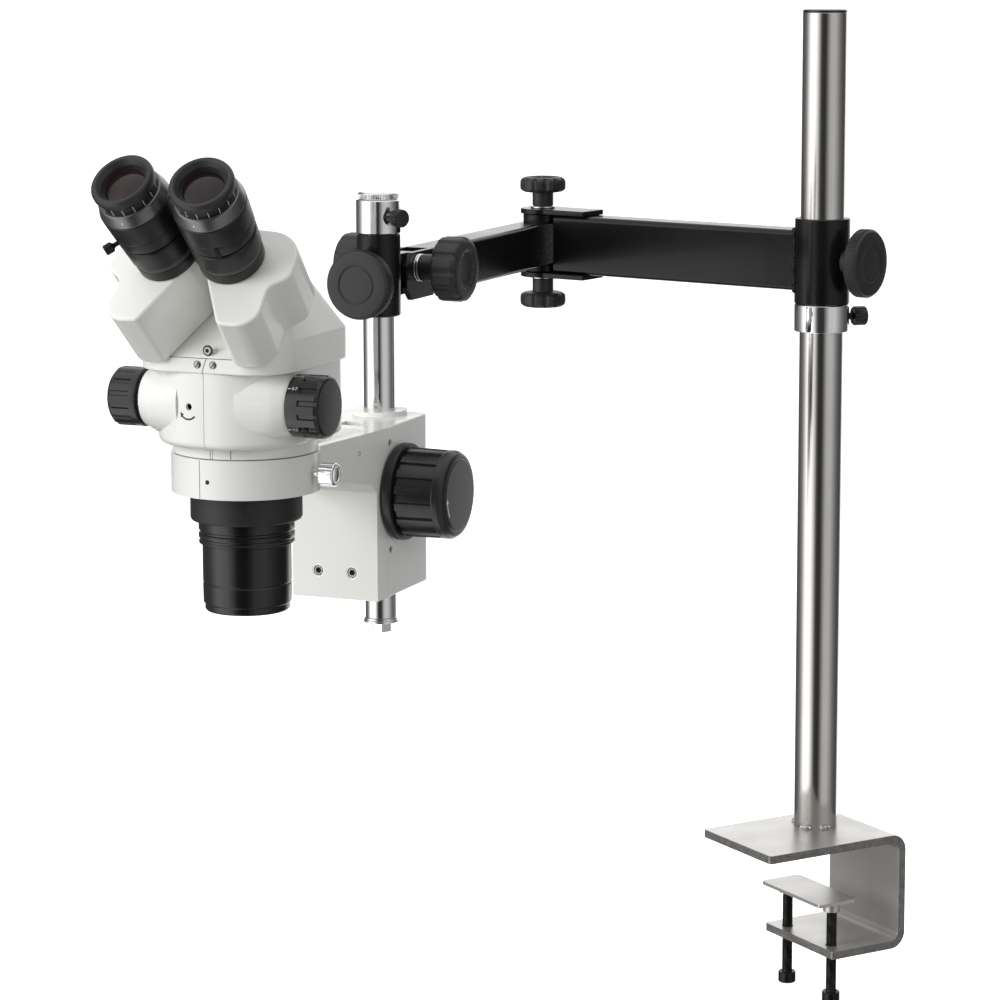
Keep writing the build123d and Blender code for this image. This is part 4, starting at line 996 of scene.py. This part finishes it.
def body_parts():
    """Body shells, binocular body and the small marks and screws on them."""
    soft_piece("body_shell_left", 0.35, white_paint)
    soft_piece("body_shell_right", 0.35, white_paint)
    soft_piece("binocular_body", 1.4, white_paint, angle=26, segments=4)
    out = Vector((0, -1, 0))
    heads = []
    for x in (-3.1, 7.7):
        heads.append((disc_at(on_flange(x, 400), out, 2.5, 0.3, ((1.0, 0.02), (0.86, 0.05))), seam_shadow))
        heads.append((disc_at(on_flange(x, 400), out, 1.95, 0.3, ((1.0, 0.35), (0.8, 0.55), (0.0, 0.55))),
                      screw_steel))
        # The screw slot is a flat near-black strip: painted shade of the slot.
        notch = block(3.4, 0.55, 0.12)
        notch.transform(standing(on_flange(x, 400, 0.66) * MM, out, Vector((0.6, 0, 1))))
        heads.append((notch, painted_recess_shade))
    centre = on_flange(4.3, 409)
    heads.append((disc_at(centre, out, 3.4, 0.3, ((1.0, 0.04), (0.8, 0.08), (0.78, 0.02))), seam_shadow))
    heads.append((disc_at(centre, out, 2.6, 0.3, ((1.0, 0.5), (0.85, 0.8), (0.5, 0.8), (0.48, 0.3),
                                                  (0.0, 0.3))),
                  screw_steel))
    # Near-black disc in the centre screw: painted shade of its socket.
    heads.append((disc_at(centre, out, 1.2, 0.3, ((1.0, 0.4), (0.0, 0.4))), painted_recess_shade))
    groove = strip([(-43 + 2.0 * step, 404.0) for step in range(35)], 0.42, on_flange)
    seam = strip([(0, 394.6), (1.2, 399), (3.2, 404)], 0.40, on_flange)
    heads += [(groove, seam_shadow), (seam, seam_shadow)]
    for degree in (-2, 15):
        heads.append((ring_line(46.06, degree, 339.4, 345.2, 0.4), seam_shadow))
    line, tip = curved_arrow(6.4, 318, -92, 1.1, 3.0, on_body, (-11.0, 371.5))
    heads += [(line, black_ink), (tip, black_ink)]
    heads.append((disc_at(Vector((48.4, -42.6, 386.5)), Vector((0.2, -0.72, 0.66)), 0.55, 0.5,
                          ((1.0, 0.25), (0.0, 0.3))),
                  black_ink))
    piece("head_marks_and_screws", joined(*heads), head_frame, "head")
    # The ring's hole is a flat near-black disc: painted shade.
    ring_marks = joined((ring_line(47.36, -11, 313.9, 338.1, 0.4), seam_shadow),
                        (disc_at(Vector((-3.3, -47.19, 324.5)), Vector((-0.07, -1, 0)), 1.5, 0.5,
                                 ((1.0, 0.05), (0.0, 0.06))), painted_recess_shade))
    piece("ring_seam_and_hole", ring_marks, head_frame, "focus_slide")


def eyepiece_parts():
    """Prism housings, eyetubes, eyepieces with their dioptre rings, and the eye lenses."""
    for side in ("right", "left"):
        soft_piece("prism_housing_" + side, 0.5, white_paint)
        axis = joint_axis("eyepiece_" + side + "_turn")
        origin = joint_point("eyepiece_" + side + "_turn") - axis * 30 * MM
        place = standing(origin, axis, -facing)
        eyetube(side, place)
        eyepiece(side, place)


def outward(degree, radius, height):
    """Matrix that lays a turned part along a tube's radius at this angle and height."""
    return (Matrix.Rotation(radians(degree), 4, "Z") @ Matrix.Translation((radius * MM, 0, height * MM))
            @ Matrix.Rotation(radians(90), 4, "Y"))


def eyetube(side, place):
    """Tube that the eyepiece sits in, with a light groove near its foot and a small sunk screw drawn as a disc of
    painted shade.
    """
    low, high = 0.4, 26.8
    shell = turned(eased([(15.05, low), (20.0, low), (20.5, low + 0.6), (20.6, 8.0), (20.2, 8.4),
                          (20.9, 11.8),
                          (21.3, 12.2), (21.8, 25.4), (21.2, high), (15.05, high)], 0.35, closed=True), 144,
                   closed=True)
    band = turned([(20.32, 8.5), (20.98, 11.7)], 144)
    fittings = [(shell, dark_satin), (band, grey_band)]
    # The small sunk screw is a near-black disc: painted shade of its recess.
    pin = turned(eased([(0, -0.6), (1.1, -0.6), (1.1, 0.3), (0, 0.3)], 0.15), 24)
    pin.transform(outward(-125 if side == "left" else 168, 21.3, 14.6))
    fittings.append((pin, painted_recess_shade))
    data = joined(*fittings)
    piece("eyetube_" + side + "_finished", data, place, "prism_" + side, None,
          ("eyetube_" + side,))


def eyepiece(side, place):
    """Eyepiece barrel, bright index ring, dioptre ring with white ticks, and a rubber-edged cup."""
    barrel = turned(eased([(12.5, 5), (15.0, 5), (15.0, 27.1), (20.8, 27.1), (20.8, 28.4), (22.1, 28.9),
                           (22.4, 36.2),
                           (22.2, 36.4), (22.2, 36.8), (22.45, 37.0), (22.9, 51.6), (22.5, 52.4),
                           (18.4, 52.6),
                           (12.5, 52.6)], 0.3, closed=True), 160, closed=True)
    ring = turned(eased([(18.0, 52.6), (22.5, 52.4), (22.9, 53.2), (20.6, 60.2), (19.9, 60.8), (18.0, 60.8)],
                        0.35, closed=True), 160, closed=True)
    scale = turned(eased([(12.5, 60.6), (18.7, 60.6), (18.9, 66.0), (18.2, 66.4), (12.5, 66.4)], 0.25,
                         closed=True),
                   160, closed=True)
    cup = turned(eased([(12.5, 64), (18.3, 66.2), (19.6, 66.6), (20.3, 68.0), (20.3, 70.6), (19.6, 72.4),
                        (18.4, 73),
                        (16.8, 72.6), (15.0, 69.8), (14.6, 69.2), (14.1, 66.8), (13.8, 64.6)], 0.5,
                       closed=True),
                 160, closed=True)
    ticks = through(around, block(0.12, 0.35, 4.4), white_ink, Count=8, Radius=18.92 * MM, Height=63.0 * MM,
                    First=pi - 0.62, Step=0.38)
    dot = through(around, turned(eased([(0, 0), (0.55, 0), (0.55, 0.2), (0, 0.2)], 0.05), 20), white_ink,
                  Count=1,
                  Radius=0.0, Height=0.0, First=0.0, Step=0.0)
    dot.transform(Matrix.Translation((-21.65 * MM, 0, 56.8 * MM)) @ Matrix.Rotation(radians(-73), 4, "Y"))
    if side == "left":
        neck = turned(eased([(0, -1.0), (1.5, -1.0), (1.5, 3.2), (2.2, 3.8), (2.2, 4.4), (0, 4.4)], 0.2), 32)
        grip = turned(eased([(0, 4.2), (3.0, 4.2), (3.4, 4.8), (3.4, 9.4), (3.0, 10.0), (0, 10.0)], 0.3),
                      120,
                      cut=(4.9, 9.3))
        grip = through(flutes, grip, black_plastic, Count=18, Depth=0.35 * MM, Share=0.42, Softness=0.35)
        fittings = [(neck, black_oxide), (grip, black_plastic)]
        for part, _ in fittings:
            part.transform(outward(128, 21.6, 31.0))
    else:
        catch = block(1.2, 2.4, 9.0)
        catch.transform(Matrix.Rotation(radians(202), 4,
                                        "Z") @ Matrix.Translation((22.2 * MM, 0, 32.0 * MM)))
        fittings = [(catch, black_oxide)]
    data = joined((barrel, dark_satin), (ring, bright_satin), (scale, dark_satin), (cup, charcoal),
                  (ticks, white_ink), (dot, white_ink), *fittings)
    piece("eyepiece_" + side + "_finished", data, place, "eyepiece_" + side, None,
          ("eyepiece_" + side,))
    lens = turned([(0, 65.2), (14.0, 65.2), (14.0, 66.2), (12.0, 66.9), (8.0, 67.8), (4.0, 68.3),
                   (0, 68.45)], 96)
    piece("eye_lens_" + side + "_coated", lens, place, "eyepiece_" + side, optical_glass,
          ("eye_lens_" + side,))


def zoom_parts():
    """Zoom knobs: a fluted left one, and a right one with a numbered scale beside its flutes."""
    axis = joint_axis("zoom_turn")
    origin = joint_point("zoom_turn")
    low, high = span("zoom_knob_left", origin, -axis)
    rim = 18.7
    left = turned(eased([(4.1, low), (16, low), (16, low + 2.0), (rim, low + 2.2), (rim, low + 6.4),
                         (rim, low + 6.8),
                         (rim, high - 3.4), (rim, high - 3.0), (rim - 0.2, high - 2.2), (rim - 2.6, high),
                         (0, high)],
                        0.3), 240, cut=(low + 6.6, high - 1.0))
    left = through(flutes, left, black_plastic, Count=14, Depth=1.1 * MM, Share=0.34, Softness=0.16)
    piece("zoom_knob_left_fluted", joined((left, black_plastic)), standing(origin, -axis, UP), "zoom_shaft",
          None, ("zoom_knob_left",))
    low, high = span("zoom_knob_right", origin, axis)
    rim = 19.7
    right = turned(eased([(4.1, low), (rim - 0.6, low), (rim, low + 0.6), (rim, low + 8.6), (rim, low + 9.0),
                          (rim, high - 2.6), (rim, high - 2.3), (rim - 1.0, high - 0.6), (rim - 2.2, high),
                          (0, high)],
                         0.3), 240, cut=(low + 8.8, high - 0.9))
    right = through(flutes, right, black_plastic, Count=14, Depth=1.1 * MM, Share=0.34, Softness=0.16)
    scale = (("1.5", -70), ("1", -22), ("0.8", 16), ("0.7", 50), ("4.5", 131), ("4", 164), ("3", 200),
             ("2", 245))
    marks = [through(around, block(0.12, 0.5, 2.0), white_ink, Count=1, Radius=(rim + 0.02) * MM,
                     Height=(low + 1.9) * MM, First=radians(degree), Step=0.0) for _, degree in scale]
    # Near-black disc let into the right knob: painted shade of a recess.
    recess = turned([(0, 0.06), (1.5, 0.06), (1.5, -0.6), (0, -0.6)], 24)
    recess.transform(Matrix.Translation((rim * cos(radians(131)) * MM, rim * sin(radians(131)) * MM,
                                         (low + 12.2) * MM))
                     @ Matrix.Rotation(radians(131), 4, "Z") @ Matrix.Rotation(radians(90), 4, "Y"))
    data = joined((right, black_plastic), (recess, painted_recess_shade), *[(mark, white_ink) for mark in marks],
                  *[(digits, white_ink) for digits in scale_numbers(rim + 0.05, low + 5.6, scale)])
    piece("zoom_knob_right_scaled", data, standing(origin, axis, UP), "zoom_shaft", None,
          ("zoom_knob_right",))


def scale_numbers(radius, height, scale):
    """Small numerals wrapped round the zoom knob, from (text, degrees) pairs."""
    made = []
    for text, degree in scale:
        curve = bpy.data.curves.new("numeral", "FONT")
        curve.body = text
        curve.size = 3.0 * MM
        curve.align_x = "CENTER"
        curve.align_y = "CENTER"
        holder = bpy.data.objects.new("numeral", curve)
        bpy.context.scene.collection.objects.link(holder)
        data = applied(holder)
        for vertex in data.vertices:
            angle = radians(degree) - vertex.co.y / (radius * MM)
            vertex.co = (radius * MM * cos(angle), radius * MM * sin(angle), height * MM + vertex.co.x)
        made.append(data)
    return made


# ---- inner pieces keep their shape and get their finish ----
def inner_finishes():
    finishes = {"pinion_shaft": machined_steel, "zoom_shaft": machined_steel, "focus_rack": machined_brass,
                "zoom_carriage_upper": machined_brass, "zoom_carriage_lower": machined_brass,
                "prisms_left": optical_glass, "prisms_right": optical_glass}
    for node, material in finishes.items():
        data = nodes[node].data
        data.materials.clear()
        data.materials.append(material)


# ---- studio ----
def studio():
    """Pale floor, a soft sky with darker bands that polished parts mirror, and soft box lights."""
    floor_level = cad_low.z - 0.0005
    bpy.ops.mesh.primitive_plane_add(size=60, location=(0, 0, floor_level))
    floor = bpy.context.object
    floor.name = "studio_floor"
    floor_finish = finish_material("studio_floor_paint", (0.93, 0.93, 0.93), (0.92, 0.92, 0.92), (0.7, 0.8),
                                   patch=0.6, grain=40.0)
    glow = floor_finish.node_tree.nodes["Principled BSDF"]
    glow.inputs["Emission Color"].default_value = (1, 1, 1, 1)
    glow.inputs["Emission Strength"].default_value = 0.9
    floor.data.materials.append(floor_finish)
    floor.visible_glossy = False
    floor.visible_diffuse = False

    world = bpy.data.worlds.new("studio")
    bpy.context.scene.world = world
    world.use_nodes = True
    tree = world.node_tree
    sky = tree.nodes["Background"]
    direction = add_node(tree, "ShaderNodeTexCoord").outputs["Generated"]
    split = tree.nodes.new("ShaderNodeSeparateXYZ")
    tree.links.new(direction, split.inputs["Vector"])
    azimuth = math_node(tree, "ARCTAN2", split.outputs["Y"], split.outputs["X"])
    bands = add_node(tree, "ShaderNodeMapRange", {"From Min": -pi, "From Max": pi, "To Min": 0.0,
                                                  "To Max": 1.0})
    tree.links.new(azimuth, bands.inputs["Value"])
    ramp = tree.nodes.new("ShaderNodeValToRGB")
    tree.links.new(bands.outputs["Result"], ramp.inputs["Fac"])
    stops = ((0.00, 0.08), (0.085, 0.17), (0.13, 0.42), (0.175, 1.25), (0.20, 1.75), (0.28, 1.55),
             (0.318, 0.75),
             (0.350, 0.10), (0.375, 0.035), (0.425, 0.035), (0.455, 0.24), (0.49, 0.56), (0.56, 0.60),
             (0.60, 0.42),
             (0.65, 0.20), (0.70, 0.11), (0.77, 0.06), (0.79, 0.45),
             (0.82, 1.35), (0.92, 1.45), (0.955, 0.75), (0.975, 0.06), (1.00, 0.06))
    elements = ramp.color_ramp.elements
    while len(elements) < len(stops):
        elements.new(0.5)
    for element, (spot, value) in zip(elements, stops):
        element.position = spot
        element.color = (value, value, value, 1)
    strength = add_node(tree, "ShaderNodeMapRange", {"From Min": 0.45, "From Max": 0.85, "To Min": 0.0,
                                                     "To Max": 1.0})
    tree.links.new(split.outputs["Z"], strength.inputs["Value"])
    mixed = add_node(tree, "ShaderNodeMix", data_type="RGBA")
    mixed.inputs[7].default_value = (1.0, 1.0, 1.0, 1)
    tree.links.new(strength.outputs["Result"], mixed.inputs[0])
    tree.links.new(ramp.outputs["Color"], mixed.inputs[6])
    seen = tree.nodes.new("ShaderNodeLightPath")
    backdrop = add_node(tree, "ShaderNodeMix", data_type="RGBA")
    backdrop.inputs[7].default_value = (1, 1, 1, 1)
    tree.links.new(seen.outputs["Is Camera Ray"], backdrop.inputs[0])
    tree.links.new(mixed.outputs[2], backdrop.inputs[6])
    soft_fill = add_node(tree, "ShaderNodeMix", data_type="RGBA")
    soft_fill.inputs[7].default_value = (0.33, 0.33, 0.33, 1)
    tree.links.new(seen.outputs["Is Diffuse Ray"], soft_fill.inputs[0])
    tree.links.new(backdrop.outputs[2], soft_fill.inputs[6])
    tree.links.new(soft_fill.outputs[2], sky.inputs["Color"])
    sky.inputs["Strength"].default_value = 1.0

    middle = (cad_low + cad_high) / 2
    lights = (("key", (-0.1, -2.2, 0.7), 1.2, 38), ("fill", (2.1, 0.1, 0.6), 1.2, 7),
              ("top", (-0.2, -0.5, 2.2), 2.0, 17), ("back", (-1.6, 1.4, 1.2), 1.4, 4))
    for name, offset, size, power in lights:
        light = bpy.data.lights.new(name + "_softbox", "AREA")
        light.shape = "RECTANGLE"
        light.size = size
        light.size_y = size
        light.energy = power
        holder = bpy.data.objects.new(name + "_softbox", light)
        bpy.context.scene.collection.objects.link(holder)
        holder.location = middle + Vector(offset)
        holder.rotation_euler = (-Vector(offset)).to_track_quat("-Z", "Y").to_euler()
        holder.visible_glossy = False
    bpy.context.scene.view_settings.view_transform = "Standard"


def camera():
    """Slightly raised view from the operator's right."""
    data = bpy.data.cameras.new("camera")
    data.lens = 122.4
    data.shift_x = -0.05
    data.shift_y = -0.08
    data.clip_end = 50
    holder = bpy.data.objects.new("camera", data)
    bpy.context.scene.collection.objects.link(holder)
    holder.location = (1.996314, -1.429087, 0.681172)
    holder.rotation_euler = (radians(90 - 8.65), 0, radians(59))
    bpy.context.scene.camera = holder


camera()
studio()
inner_finishes()
clamp_parts()
post_parts()
rear_arm_parts()
front_arm_parts()
pillar_parts()
focus_parts()
objective_parts()
body_parts()
eyepiece_parts()
zoom_parts()
